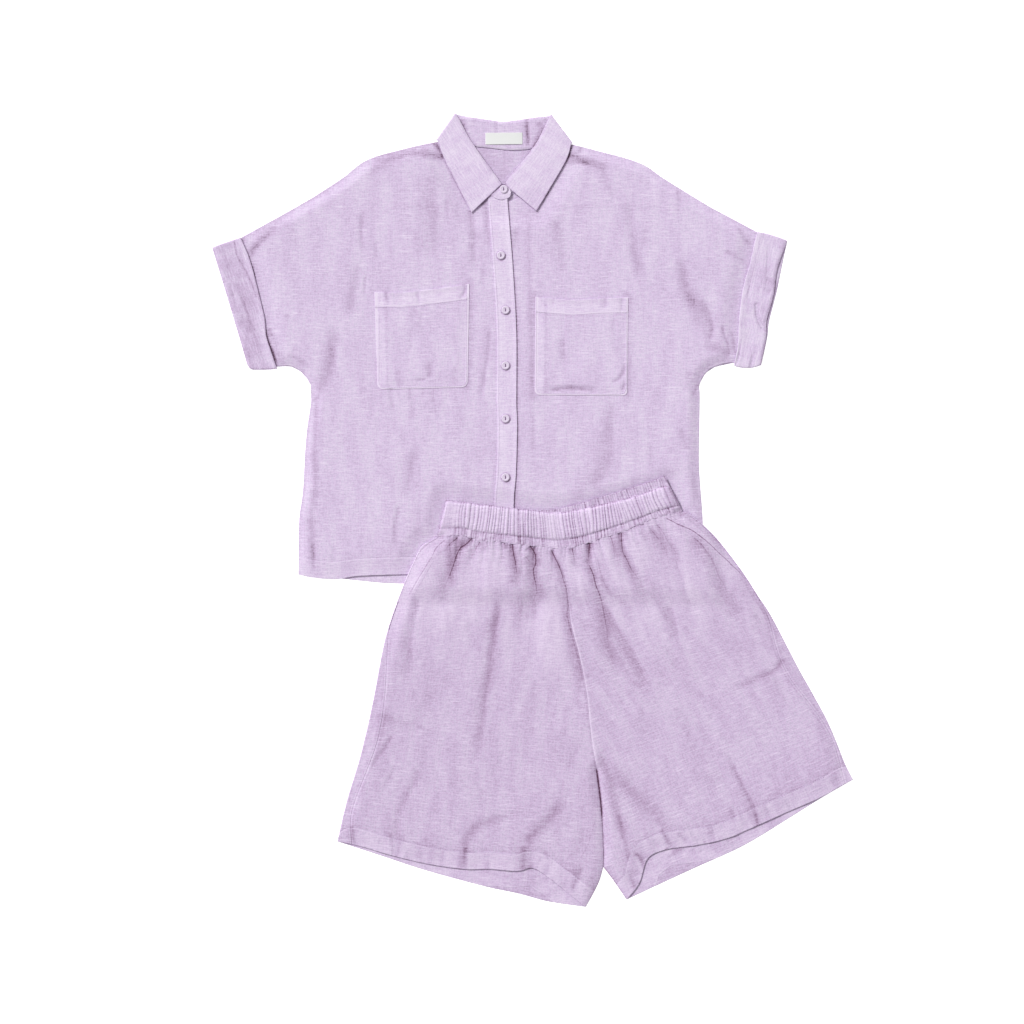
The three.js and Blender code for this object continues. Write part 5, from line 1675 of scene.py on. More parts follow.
# ---------------------------------------------------------------- the shorts
SHORTS_CREASES = (
    # at the waist, from the viewer's left
    Crease(((-127, 30), (-131, 27), (-139, 22), (-144, 16), (-147, 6)), -1.7, 2.2, 1.8, 1.4, 0.4, 0.05),
    Crease(((-108, 27), (-117, 20), (-125, 16), (-132, 6), (-136, -3), (-142, -15), (-148, -26),
            (-154, -36), (-160, -50), (-165, -63)), -2.9, 2.8, 1.8, 3.4, 0.45, 0.03),
    Crease(((-99, 21), (-105, 13), (-111, 5), (-117, -5)), -1.5, 2, 1.8, 1.4, 0.4, 0.05),
    Crease(((-91, 20), (-93, 11), (-95, 4)), -1.0, 2, 2, 1.4, 0.4, 0.05),
    Crease(((-69, 17), (-67, 11), (-66, 5)), -2.0, 2.2, 1.6, 1.0, 0.6, 0.05),
    Crease(((-72, -1), (-77, -12)), -0.9, 3, 3),
    Crease(((-58, 13), (-58, 1), (-57, -10), (-57, -20), (-57, -28), (-60, -38), (-64, -51)), -2.6, 2.3,
           1.8, 1.8, 0.6, 0.02),
    Crease(((-43, -5), (-39, -13), (-36, -21)), -1.4, 2.2, 2),
    Crease(((-36, 8), (-32, 1), (-30, -6), (-31, -16), (-35, -24), (-35, -34), (-34, -43), (-34, -53),
            (-38, -61), (-43, -74), (-48, -88), (-52, -101)), -3.0, 3.0, 2.2, 3.4, 0.4, 0.02),
    Crease(((-9, -46), (-5, -64), (-3, -75)), -0.8, 2.5, 2),
    Crease(((18, -2), (19, -12), (19, -24), (19, -34)), -2.1, 2.0, 1.8, 1.5, 0.4, 0.02),
    Crease(((42, 2), (39, -12), (36, -31)), -2.8, 2.6, 2.2, 1.0, 0.9, 0.02),
    Crease(((36, -24), (41, -38), (43, -54), (46, -65), (48, -76), (49, -91), (50, -109), (50, -122),
            (50, -135), (53, -155), (55, -171), (57, -190)), -2.3, 3.2, 2.4, 1.7, 0.3, 0.05),
    Crease(((51, -74), (57, -92), (62, -108), (69, -124), (76, -138), (82, -154), (88, -170), (91, -190),
            (95, -215)), -1.5, 9, 2.5, 1.5, 0.45),
    Crease(((49, -18), (51, -37), (55, -55), (66, -76)), -0.9, 2, 2, 1.4, 0.5),
    Crease(((50, -41), (60, -65), (74, -81), (83, -96)), -0.9, 2, 2, 1.4, 0.5),
    Crease(((69, 8), (71, 0), (72, -13), (71, -29), (73, -42)), -1.6, 2, 2, 1.6, 0.4, 0.03),
    Crease(((84, 12), (83, -2), (83, -15), (87, -26), (91, -38), (96, -47), (102, -59), (106, -72),
            (110, -86), (113, -102)), -2.0, 2.8, 1.8, 2.8, 0.6, 0.03),
    Crease(((93, 9), (96, 14), (102, 17), (112, 17), (118, 14)), -1.1, 1.6, 1.6, 1.0, 0.8),
    Crease(((109, 10), (117, -10)), -0.8, 2, 2),
    Crease(((120, 13), (129, -1), (136, -15), (143, -29)), -1.2, 2.5, 2, 1.3, 0.5),
    Crease(((127, 19), (135, 9), (140, -2), (145, -14), (156, -33), (160, -48)), -1.2, 3, 2.3, 1.4, 0.5),
    # down the viewer's left leg
    Crease(((-185, -36), (-191, -54), (-196, -68), (-201, -84), (-206, -97), (-208, -121), (-213, -135),
            (-220, -155)), -1.5, 8, 3.5, 1.3, 0.45),
    Crease(((-82, -58), (-85, -69), (-90, -83), (-96, -99), (-98, -112), (-103, -128), (-106, -145),
            (-111, -161), (-120, -191), (-125, -212), (-130, -231), (-137, -250), (-147, -264),
            (-152, -282)), -1.6, 8, 4, 1.2, 0.35, 0.12),
    Crease(((-123, -79), (-127, -94), (-126, -109), (-132, -125)), -0.8, 6, 6),
    Crease(((-187, -163), (-194, -182), (-218, -203)), -0.6, 6, 6),
    Crease(((-254, -187), (-246, -189), (-234, -198), (-218, -201), (-198, -212)), -0.6, 5, 3, 1.5, 0.3,
           0.05),
    Crease(((-248, -188), (-253, -201), (-258, -213), (-259, -230)), -0.8, 3.5, 3, 1.3, 0.5, 0.05),
    Crease(((-242, -213), (-250, -225), (-260, -237), (-270, -247), (-277, -262)), -1.1, 3, 2.5, 1.3, 0.8),
    Crease(((-243, -254), (-255, -272), (-271, -297)), -0.8, 3, 3),
    Crease(((-203, -245), (-220, -275), (-235, -297), (-246, -314), (-254, -341), (-259, -366)), -0.8, 5,
           4.5, 1.0, 1.0, 0.3),
    Crease(((-134, -296), (-143, -317), (-143, -326)), -0.6, 5, 4),
    Crease(((-80, -330), (-88, -334), (-121, -339), (-150, -347), (-163, -362), (-169, -384), (-171, -396)),
           -1.0, 6, 6.5, 1.0, 1.1, 0.35),
    Crease(((-26, -318), (-41, -335), (-62, -355), (-83, -371), (-94, -390)), -1.35, 7.5, 7.5, 1.0, 1.1,
           0.3),
    Crease(((-24, -290), (-7, -259), (-3, -244)), -0.6, 5, 5),
    Crease(((-11, -361), (-21, -389), (-34, -404)), -0.6, 6, 6, 1.0, 0.8),
    Crease(((-19, -413), (-26, -429), (-37, -448)), -1.1, 3.5, 3, 1.0, 0.9),
    Crease(((-80, -384), (-88, -394), (-82, -406)), -0.9, 6, 6, 1.0, 0.9, 0.1),
    Crease(((-114, -410), (-118, -434)), -0.9, 3.5, 3, 1.0, 1.0, 0.1),
    Crease(((-59, -424), (-64, -460)), -1.4, 2.4, 2, 1.0, 1.0, 0.1),
    # down the viewer's right leg
    Crease(((135, -90), (138, -109), (140, -125), (143, -142)), -1.0, 11, 2.5, 1.0, 0.8, 0.1),
    Crease(((125, -144), (131, -167), (137, -185)), -0.6, 5, 5),
    Crease(((170, -2), (184, -16), (190, -26), (196, -37), (200, -50), (203, -62), (209, -76), (212, -90),
            (216, -103), (220, -115), (223, -134)), -1.7, 4.5, 2.5, 2.0, 0.5, 0.12),
    Crease(((158, -87), (166, -95), (171, -103)), -0.8, 3, 3),
    Crease(((244, -115), (248, -133), (250, -147)), -0.8, 4, 3),
    Crease(((272, -178), (263, -189), (253, -194), (236, -199), (218, -205), (195, -212)), -1.3, 3.5, 3.5,
           1.6, 0.3, 0.03),
    Crease(((258, -200), (266, -226), (268, -242)), -0.7, 3, 3),
    Crease(((127, -222), (137, -250), (145, -269)), -0.6, 7, 6),
    Crease(((33, -283), (50, -313), (70, -339), (90, -367), (103, -395)), -0.9, 9, 8, 1.0, 0.7, 0.2),
    Crease(((42, -304), (60, -340), (83, -369)), -0.3, 9, 9, 1.1, 1.0, 0.2),
    Crease(((19, -262), (23, -277), (32, -311), (35, -344), (39, -372), (44, -396)), -1.4, 6.5, 5, 1.2,
           0.6),
    Crease(((36, -350), (39, -382), (42, -402), (41, -422)), -1.0, 2.8, 2.6, 1.0, 0.8, 0.1),
    Crease(((184, -288), (194, -317), (204, -346), (211, -366), (215, -396)), -1.15, 3.2, 2.6, 1.0, 1.1,
           0.25),
    Crease(((161, -313), (171, -335)), -0.7, 8, 7),
    Crease(((181, -360), (186, -384)), -0.9, 3, 3, 1.0, 0.9, 0.1),
    Crease(((170, -402), (178, -424)), -0.9, 3, 3, 1.0, 0.9, 0.1),
    Crease(((117, -406), (128, -436)), -0.9, 3, 3, 1.0, 0.9, 0.1),
    # beside the centre seam, and its own ridge
    Crease(((-9, 0), (-5, -13), (-2, -21), (1, -33), (2, -42), (4, -52), (4, -63), (4, -76), (1, -87),
            (2, -98), (4, -113), (6, -129), (8, -144), (10, -159), (13, -180), (13, -205)), -1.9, 2.2, 1.3,
           3.6, 0.4, 0.02),
    Crease(((6, -85), (8, -113), (12, -144), (15, -180), (16, -214), (16, -240), (16, -262), (18, -290),
            (20, -318)), 0.9, 2.0, 3.0, 1.0, 0.9, 0.1),
    # broad ridges between them
    Crease(((-24, -56), (-30, -116), (-42, -181)), 1.7, 12, 16, 1.0, 0.8, 0.25),
    Crease(((-152, -51), (-160, -90)), 1.1, 8, 12, 1.0, 0.9, 0.3),
    Crease(((26, -31), (24, -75)), 0.8, 5, 6, 1.0, 0.9, 0.3),
)
SHORTS_MARKS = (  # lines that are only seen as darker or paler cloth, by their tone; the pockets' slits and the creases among them are painted shadow and shade
    Crease(((-139, 31), (-148, 26), (-157, 19), (-165, 7), (-174, -4), (-183, -15), (-192, -27),
            (-199, -36), (-205, -50)), -1.5, 1.0, 1.0, 1.0, 0.7, 0.1),
    Crease(((-161, 14), (-174, -4), (-183, -15), (-192, -27), (-200, -40)), -1.9, 1.1, 1.0, 1.0, 0.7, 0.3),
    Crease(((-172, -4), (-181, -15), (-190, -27), (-197, -37)), 0.7, 0.8, 0.8, 1.0, 0.9, 0.2),
    Crease(((-161, 4), (-167, -3), (-174, -13), (-181, -22), (-188, -31), (-197, -45)), -0.8, 1.2, 1.2, 1.0,
           0.8, 0.1),
    Crease(((-192, -26), (-195, -38), (-193, -50)), -0.4, 3.5, 3.5, 1.0, 0.9),
    Crease(((-163, 33), (-153, 34), (-139, 32)), -0.8, 1.2, 1.2, 1.0, 1.0, 0.3),
    Crease(((143, 22), (151, 17), (158, 12), (165, 8), (175, 2), (183, -5), (191, -13), (199, -22),
            (207, -32), (215, -41), (222, -50), (229, -58), (234, -66), (241, -78)), -2.5, 1.2, 1.0, 1.0,
           0.7, 0.02),
    Crease(((148, 26), (156, 19), (164, 12)), -0.7, 1.0, 1.0, 1.0, 1.0, 0.1),
    Crease(((159, 10), (167, 2), (176, -7), (182, -15), (187, -25), (193, -35), (198, -45), (204, -56)),
           -0.6, 1.4, 1.2, 1.3, 0.9, 0.1),
    Crease(((9, -346), (0, -369), (-10, -390), (-23, -406), (-36, -422)), -0.5, 0.8, 0.8, 1.0, 1.0, 0.1),
    Crease(((-268, -184), (-254, -187), (-246, -189), (-234, -198), (-218, -201), (-198, -212),
            (-176, -222)), -0.3, 7.0, 1.0, 1.0, 0.4, 0.1),
    Crease(((275, -176), (263, -189), (253, -194), (236, -199), (218, -205), (195, -212)), -0.35, 1.0, 6.0,
           1.0, 0.3, 0.03),
    Crease(((86, -405), (105, -408), (124, -407)), -1.4, 3.0, 2.5, 1.0, 0.9, 0.25),
    Crease(((-102, -405), (-92, -408), (-80, -404)), -1.0, 3.0, 2.5, 1.0, 0.9, 0.25),
)

HEM_MARKS = tuple(  # short creases across the hems, front and back, drawn only as painted shade
    Crease(line, rise, width, width, 1.0, 1.0) for line, rise, width in (
        (((88, -378), (93, -390), (101, -406)), -0.9, 3.2), (((109, -384), (120, -401)), -0.6, 3.0),
        (((75, -390), (84, -407)), -0.5, 3.0), (((48, -402), (58, -413), (60, -430)), -1.0, 2.6),
        (((169, -399), (178, -423)), -0.9, 2.6), (((213, -370), (214, -396)), -0.8, 3.0),
        (((118, -415), (127, -436)), -0.9, 2.8), (((40, -430), (46, -455)), -0.8, 3.0),
        (((142, -398), (146, -416)), -0.5, 3.0), (((-261, -338), (-261, -374)), -0.7, 2.6),
        (((-166, -368), (-171, -401)), -1.0, 3.0), (((-310, -323), (-311, -349)), -0.8, 2.6),
        (((-92, -376), (-95, -410)), -1.0, 4.5), (((-67, -388), (-58, -405)), -0.5, 2.6),
        (((-28, -414), (-37, -447)), -0.6, 3.2), (((-177, -396), (-184, -413)), -0.7, 2.6),
        (((-125, -411), (-122, -435)), -0.6, 3.0), (((-88, -413), (-83, -440)), -0.6, 3.0),
        (((-60, -427), (-67, -459)), -1.6, 1.8), (((-220, -386), (-217, -399)), -0.6, 2.4),
    )
)
SHARP = tuple(c for c in SHORTS_CREASES if c.rise < -0.8 and min(c.west, c.east) < 2.6 and c.line[0][1] > -60)
SHORTS_FOLDS = tuple(  # the creases' form; a sharp one's is wider and shallower than its dark line
    replace(c, rise=0.92 * c.rise, west=2.1 * c.west, east=2.1 * c.east) if c in SHARP else c
    for c in SHORTS_CREASES
)
THIN = tuple(c for c in SHORTS_MARKS if c.rise < 0 and c.west < 1.5 and c.east < 1.5)
# the sharp creases' cores and the thin marks, drawn as thin lines of painted shade
SHORTS_LINES = tuple(replace(c, rise=0.62 * c.rise, keep=-0.3) for c in SHARP)
SHORTS_LINES += tuple(replace(c, rise=0.7 * c.rise) for c in THIN)
# the broader marks and the hem creases, drawn only by tone, much of it painted shade
SHORTS_SHADES = tuple(c for c in SHORTS_MARKS if c not in THIN) + HEM_MARKS


@dataclass(frozen=True)
class Shorts:
    """The shorts' cloth, in millimetres in their own plane: two legs and an elastic waistband."""

    tailor: Tailor
    wall: float = 0.7
    stack: float = 2.9  # what lies under them over the shirt
    placket_stack: float = 1.5
    shirt_side: float = 257.0
    layer: float = 2.3  # their face over the ground where they are held flat
    waist_lift: float = 3.6
    hem_lift: float = 1.9
    hem: float = 22.0

    def ground(self, x: Array, y: Array) -> Array:
        """What they lie on: one level over the shirt, a higher one over its placket, and soft slopes down.

        Args:
            x: Places across.
            y: Places up.

        Returns:
            The height.
        """
        sx, sy = to_shirt(x, y)
        over = 1 - np.maximum(smooth(-sy, 0.0, 30.0), smooth(sx - self.shirt_side, 0.0, 30.0))
        return over * (self.stack + self.placket_stack * (1 - smooth(np.abs(sx), 20.0, 42.0)))

    def _calm(self, side: Side, x: Array, y: Array) -> tuple[Array, Array, Array]:
        """A leg's face without creases, highest under the band; how loose it lies; how far it stands off.

        Args:
            side: The wearer's side.
            x: Places across.
            y: Places up.

        Returns:
            The height, the looseness and the distance.
        """
        lift = self.waist_lift + (self.hem_lift - self.waist_lift) * smooth(-y, -10.0, 170.0)
        outer = distance(LEG_OUTER[side], x, y)
        inner = np.minimum(distance(LEG_INNER[side], x, y), distance(LEG_GAP, x, y))
        hem = distance(LEG_HEM[side], x, y)
        held = 0.16 + 0.22 * lumps(x, y, (14, 14), 73)
        held = held + (1 - held) * smooth(hem, 0.0, 26.0)
        loose = smooth(outer, 0.0, 20.0) * smooth(inner, 0.0, 14.0) * held
        roll = 0.9 * (1 - smooth(inner, 0.0, 5.0))
        return self.ground(x, y) + self.layer - roll + loose * lift, loose, lift

    def calm(self, side: Side, x: Array, y: Array) -> Array:
        """A leg's face without its creases."""
        return self._calm(side, x, y)[0]

    def top(self, side: Side, x: Array, y: Array) -> Array:
        """A leg's face with its creases, which stay above what lies under it.

        Args:
            side: The wearer's side.
            x: Places across.
            y: Places up.

        Returns:
            The height.
        """
        calm, loose, lift = self._calm(side, x, y)
        crumple = 0.30 * lumps(x, y, (34, 60), 71) + 0.12 * lumps(x, y, (15, 26), 72)
        small = total(Wrinkles(12, 120, (-300, -440), (330, 20), 0.28).creases(), x, y)
        free = smooth(distance(BAND_BOTTOM, x, y), 0.0, 18.0)
        sharp = 0.5 - 0.12 * smooth(-y, 120.0, 300.0)
        deep = sharp * total(SHORTS_FOLDS, x, y) + self.gathers(x, y) + free * (crumple + small)
        off, which, _ = nearest(curve(BAND_BOTTOM), x, y)
        tucked = 1.4 * smooth(np.where(which > 0, off, 0.0), 0.3, 3.0)
        return calm + np.maximum(loose * deep, -0.2 - loose * lift) - tucked

    def gathers(self, x: Array, y: Array) -> Array:
        """Small troughs that run down from the waist seam, of uneven width, depth and length.

        Args:
            x: Places across.
            y: Places up.

        Returns:
            The height.
        """
        off, _, share = nearest(curve(BAND_BOTTOM), x, y)
        place = share * 330.0 + 2.5 * lumps(x, y, (18, 22), 75)
        out = np.zeros(np.shape(x))
        for seed, widths, length, depth in ((76, (3.6, 7.5), 12.0, 0.8), (77, (8.0, 18.0), 36.0, 1.0)):
            rng = np.random.default_rng(seed)
            lines = np.cumsum(rng.uniform(*widths, 110)) - 12.0
            reach = length * rng.uniform(0.5, 1.6, 110)
            rise = depth * rng.uniform(0.25, 1.0, 110)
            k = np.clip(np.searchsorted(lines, place), 1, 109)
            k = np.where(place - lines[k - 1] < lines[k] - place, k - 1, k)
            across = np.abs(place - lines[k]) / (0.26 * widths[0] * (1 + off / length * 0.6))
            out -= rise[k] * np.exp(-(across**1.5)) * bell(off, reach[k])
        return out

    def grain(self, side: Side) -> Callable[[Array, Array], tuple[Array, Array]]:
        """The grain's place: its weft is level at the waist and turns with the leg towards the hem.

        Args:
            side: The wearer's side.

        Returns:
            The function from places to places on the grain.
        """
        full = math.radians(-11.0 if side is Side.RIGHT else 15.0)

        def at(x: Array, y: Array) -> tuple[Array, Array]:
            """The place turned about the waist's end of the centre seam.

            Args:
                x: Places across.
                y: Places up.

            Returns:
                The turned place.
            """
            angle = full * smooth(-y, -20.0, 260.0)
            c, s = np.cos(angle), np.sin(angle)
            return c * x + s * y, c * y - s * x

        return at

    def _cloth(self, side: Side) -> Cloth:
        """What a leg is laid by.

        Args:
            side: The wearer's side.

        Returns:
            The cloth.
        """
        hem = curve(LEG_HEM[side])
        inner = np.vstack([curve(LEG_INNER[side]), curve(LEG_GAP)])
        seam = curve(LEG_SEAM[side])
        centre = curve(CENTRE_SEAM)
        outer = curve(LEG_OUTER[side])

        def from_hem(x: Array, y: Array) -> Array:
            """How far a place is above the hem's stitching."""
            return nearest(hem, x, y)[0] - self.hem

        def seams(x: Array, y: Array) -> Array:
            """The distance to the nearest seam."""
            return np.minimum.reduce([np.abs(from_hem(x, y)), distance(seam, x, y), distance(centre, x, y)])

        waist = curve(BAND_BOTTOM)

        def tone(x: Array, y: Array) -> Array:
            """Painted shade down in the creases and gathers, between the legs, under the band and above the
            hem, with painted light on the ridges.

            Args:
                x: Places across.
                y: Places up.

            Returns:
                The tone.
            """
            slit = 0.3 + 0.7 * smooth(-y, 262.0, 290.0) * (1 - smooth(-y, 340.0, 368.0))
            gap = 2.4 * slit * bell(nearest(inner, x, y)[0], 1.5)
            creases = 0.56 * np.minimum(total(SHORTS_FOLDS, x, y), 0.35) + 0.42 * self.gathers(x, y)
            from_waist, _, share = nearest(waist, x, y)
            place = share * 330.0
            # runs: noise of painted light and shade for the small gathers below the waist
            runs = lumps(place, from_waist, (13, 110), 87) + 0.6 * lumps(place, from_waist, (5, 50), 88)
            runs = runs * smooth(from_waist, 3.0, 20.0) * (1 - smooth(from_waist, 60.0, 230.0))
            creases = creases + 0.34 * runs
            band = 0.1 * np.exp(-from_waist / 2.0) - 0.24 * (1 - smooth(from_waist, 60.0, 190.0))
            # painted shade of the dip above the hem's stitching; in the doubled band, paler cloth with
            # painted shade of its small creases and puckers as streaks and blots
            above = from_hem(x, y)
            above = 0.4 * np.exp(-np.maximum(above, 0.0) / 7.0) * smooth(above, -0.3, 0.3)
            doubled = smooth(-from_hem(x, y), 0.0, 1.0)
            streaks = np.maximum(lumps(nearest(hem, x, y)[2] * 330.0, y, (5.5, 34), 79) - 0.15, 0.0)
            blots = np.maximum(lumps(x, y, (12, 11), 78) - 0.3, 0.0)
            above = above - doubled * (0.22 - 0.75 * streaks - 0.5 * blots)
            off = nearest(seam, x, y)[0]
            beside = 0.25 * bell(off - 1.2, 0.9) - 0.3 * bell(off - 3.2, 1.2)
            pocket = (1 - smooth(-y, 110.0, 150.0)) * (1 - smooth(nearest(outer, x, y)[0], 6.0, 9.0))
            beside = beside * (1 - 0.8 * pocket) - pocket * (0.38 if side is Side.LEFT else 0.05)
            beside = beside + 0.3 * pocket * lumps(nearest(outer, x, y)[0], y, (2.6, 70), 80)
            # painted highlight and shade along the centre seam, below the waist creases
            off, which, _ = nearest(centre, x, y)
            across = off * np.where(which > 0, -1, 1)
            pale = 0.55 * bell(across - 1.0, 0.8) - 0.4 * bell(across + 1.8, 1.2)
            beside = beside + pale * smooth(-y, 55.0, 90.0) * (1 - smooth(-y, 285.0, 300.0))
            return creases - gap - band - above + beside + total(SHORTS_SHADES, x, y)

        return Cloth(lambda x, y: self.top(side, x, y), from_hem, seams, tone, self.grain(side), SHORTS_LINES)

    def front(self, side: Side, cut: Cut) -> Piece:
        """A leg's front, from its side seam to the middle.

        Args:
            side: The wearer's side.
            cut: Its flat cut.

        Returns:
            The piece.
        """
        across, up = 250, 285
        gap = 0.35 * side.value
        tuck = 4.0  # how far it runs under the band
        centre = (*moved(CENTRE_SEAM[:1], gap), *moved(CENTRE_SEAM[1:], -0.6 * gap),
                  (CENTRE_SEAM[-1][0] - 0.5, CENTRE_SEAM[-1][1] + tuck))
        inner = Edge.of(up, moved(LEG_INNER[side], gap), moved(LEG_GAP, gap), centre)
        outer = Edge.of(up, (*LEG_SEAM[side], (LEG_SEAM[side][-1][0], LEG_SEAM[side][-1][1] + tuck)))
        bottom, top = Edge.of(across, LEG_HEM[side]), Edge.of(across, moved(WAIST[side], 0, tuck))
        left, right = (outer, inner) if side is Side.RIGHT else (inner, outer)
        v = stops(up, 460.0)
        v = v + 0.5 * v * (1 - v)  # closer rows near the waist
        flat = patch(bottom, right, top, left, stops(across, 250.0), v)
        name = side.name.lower()
        return self.tailor.sew(f"shorts_front_{name}", [self._cloth(side).lay(flat)], self.wall, cut,
                               (f"shorts_back_{name}",))

    def back(self, side: Side, cut: Cut) -> Piece:
        """A leg's back: its lower layer, the fold at its side, and the strip that turns over to the seam.

        Args:
            side: The wearer's side.
            cut: Its flat cut.

        Returns:
            The piece.
        """
        wide, strip, up, floor = 50, 16, 230, 0.06
        inward = -side.value
        v = stops(up, 460.0)
        fold = Edge.of(up, LEG_OUTER[side])(v)
        seam = Edge.of(up, LEG_SEAM[side])(v)
        seam[:, 0] += side.value * 0.3
        width = np.hypot(*(seam - fold).T)
        along = unit(np.gradient(fold, axis=0))
        normal = np.stack([along[:, 1], -along[:, 0]], axis=-1) * -inward
        normal = normal * np.sign(normal[:, :1] * inward)
        inner_line = Edge.of(up, LEG_INNER[side], LEG_GAP, CENTRE_SEAM)
        hem = Edge.of(wide, LEG_HEM_BACK[side] if side is Side.LEFT else LEG_HEM_BACK[side][::-1])
        waist = Edge.of(wide, WAIST[side] if side is Side.LEFT else WAIST[side][::-1])
        first, last = inner_line, Edge.of(up, LEG_OUTER[side])
        u = stops(wide, 250.0)
        under = patch(hem, last, waist, first, u, v)
        x, y = under[..., 0], under[..., 1]
        under = np.concatenate([under, (self.ground(x, y) + floor)[..., None]], axis=-1)

        reach = np.minimum(1.5, 0.7 * width)
        shift = (reach[:, None] * smooth(u, 0.97, 1.0)[None])[..., None] * normal[:, None]
        under[..., :2] += shift
        start = fold + normal * reach[:, None]
        share = np.linspace(0.0, 1.0, strip + 1)[None, :, None]
        over = (1 - share) * start[:, None] + share * seam[:, None]
        x, y = over[..., 0], over[..., 1]
        over = np.concatenate([over, self.top(side, x, y)[..., None]], axis=-1)
        turn = turned(fold, normal, reach, over[:, 0, 2], under[:, -1, 2], 8)
        points = np.concatenate([under, turn[:, ::-1], over], axis=1)
        if side is Side.LEFT:
            points = points[:, ::-1]
        grid = self._cloth(side).shape(points)
        return self.tailor.sew(f"shorts_back_{side.name.lower()}", [grid], self.wall, cut, ("shirt_back",))


@dataclass(frozen=True)
class WaistBand:
    """The elastic waistband: gathers of uneven width between its stitch line and its rolled top edge."""

    shorts: Shorts
    stitched: float = 0.22  # share of the height where the elastic is stitched
    length: float = 322.0
    tall: float = 48.0
    rise: float = 1.5
    seed: int = 5

    @staticmethod
    def _gathers(place: Array, up: Array, seed: int, widths: tuple[float, float]) -> tuple[Array, Array]:
        """Uneven ridges, h * (4 f (1 - f))^0.6 at the share f of the way over each, and their valley lines.

        Args:
            place: distance along the band, in millimetres.
            up: share of the height, as each valley runs over its own part of it.
            seed: which set of ridges.
            widths: the least and the greatest width of a ridge.

        Returns:
            The ridges' height, up to 1, and the valley lines' strength, up to 1.
        """
        rng = np.random.default_rng(seed)
        valleys = np.cumsum(rng.uniform(*widths, 170)) - 20.0
        heights = rng.uniform(0.45, 1.0, 170)
        strength = rng.uniform(0.35, 1.0, 170)
        low, high = rng.uniform(-0.5, 0.45, 170), rng.uniform(0.6, 1.6, 170)
        k = np.clip(np.searchsorted(valleys, place) - 1, 0, 168)
        f = np.clip((place - valleys[k]) / (valleys[k + 1] - valleys[k]), 0, 1)
        near = np.where(f > 0.5, k + 1, k)
        off = np.abs(place - valleys[near])
        low, high = low[near], high[near]
        present = smooth(up, low - 0.12, low + 0.12) * (1 - smooth(up, high - 0.15, high + 0.15))
        return heights[k] * (4 * f * (1 - f)) ** 0.6, strength[near] * present * bell(off, 0.8)

    def _height(self, across: Array, up: Array, x: Array, y: Array) -> tuple[Array, Array]:
        """The front's face and its tone: a pillow with ridges, pinched at the stitching.

        Args:
            across: Shares across.
            up: Shares up.
            x: Places across.
            y: Places up.

        Returns:
            The height and the tone.
        """
        along = across * self.length
        lean = 5.0 * (up - 0.5) * lumps(along, 0 * up, (37, 10), 82)
        place = along + 2.2 * lumps(along, up * 60.0, (23, 40), 81) + lean
        main, lines = self._gathers(place, up, self.seed, (2.6, 5.8))
        fine, hair = self._gathers(place + 2.0, up, self.seed + 1, (2.2, 4.6))
        ends = smooth(across, 0.045, 0.08) * (1 - 0.5 * smooth(across, 0.965, 0.99))
        patch_in_middle = 1 - 0.6 * smooth(across, 0.425, 0.445) * (1 - smooth(across, 0.495, 0.515))
        held = 0.1 + 0.9 * ends * patch_in_middle
        in_main = smooth(up, self.stitched, self.stitched + 0.06)
        rough = 0.3 * lumps(along, up * self.tall, (3.2, 3.6), 84)
        ridges = held * (self.rise * main * in_main + (0.55 * fine + rough) * (1 - in_main))
        pillow = 1.4 * (1 - (2 * np.clip((up - self.stitched) / (1 - self.stitched), 0, 1) - 1) ** 4)
        pinched = -0.18 * bell((up - self.stitched) * self.tall, 1.2)
        rolled = -1.6 * smooth(up, 0.93, 1.0)
        from_tip = np.minimum(across, 1 - across) * self.length
        tips = -2.0 * (1 - smooth(from_tip, 0.0, 3.0))
        base = self.shorts.ground(x, y) + 5.2 + pillow + pinched + rolled + tips
        legs = np.where(x < -9, self.shorts.calm(Side.RIGHT, x, y), self.shorts.calm(Side.LEFT, x, y)) - 0.15
        joined = 1 - smooth(up, 0.0, self.stitched)
        z = base + joined * (legs - base) + ridges * smooth(up, 0.0, 0.06)
        seam = bell((up - self.stitched) * self.tall, 0.55)
        # Tone: painted light and shade over the ridges and their valley lines, a darker stitch line, darker
        # towards the right end, and painted shade where the rolled top edge and the tips face the sun.
        tone = 0.52 + held * (0.25 * (main - 0.5) * in_main - 1.5 * lines * in_main)
        tone += held * (1 - in_main) * (-1.3 * hair - 1.2 * lines + 0.9 * rough - 0.3)
        tone += -0.6 * smooth(across, 0.945, 0.985) * in_main - 0.7 * seam
        tone += -1.0 * smooth(up, 0.955, 0.99) - 0.7 * (1 - smooth(from_tip, 0.5, 3.0))
        return z, tone

    def front(self, cut: Cut) -> Piece:
        """The band's front, over the tops of the legs.

        Args:
            cut: Its flat cut.

        Returns:
            The piece.
        """
        columns, rows = 640, 40
        u, v = stops(columns, self.length), stops(rows, self.tall)
        bottom, top = Edge.of(1, BAND_BOTTOM), Edge.of(1, BAND_TOP_FRONT)
        flat = (1 - v[:, None, None]) * bottom(u)[None] + v[:, None, None] * top(u)[None]
        across, up = np.broadcast_to(u[None], flat.shape[:2]), np.broadcast_to(v[:, None], flat.shape[:2])
        x, y = flat[..., 0], flat[..., 1]
        ruffle = 0.8 * lumps(across * self.length, 0 * up, (4, 9), 83)
        y = y + ruffle * (smooth(up, 0.9, 1.0) - (1 - smooth(up, 0.0, 0.1)))
        z, tone = self._height(across, up, x, y)
        grid = Cloth(self.shorts.ground).shape(np.stack([x, y, z], axis=-1))
        grid.tone[...] = tone
        return self.shorts.tailor.sew("waistband_front", [grid], 0.9, cut, ("waistband_back",))

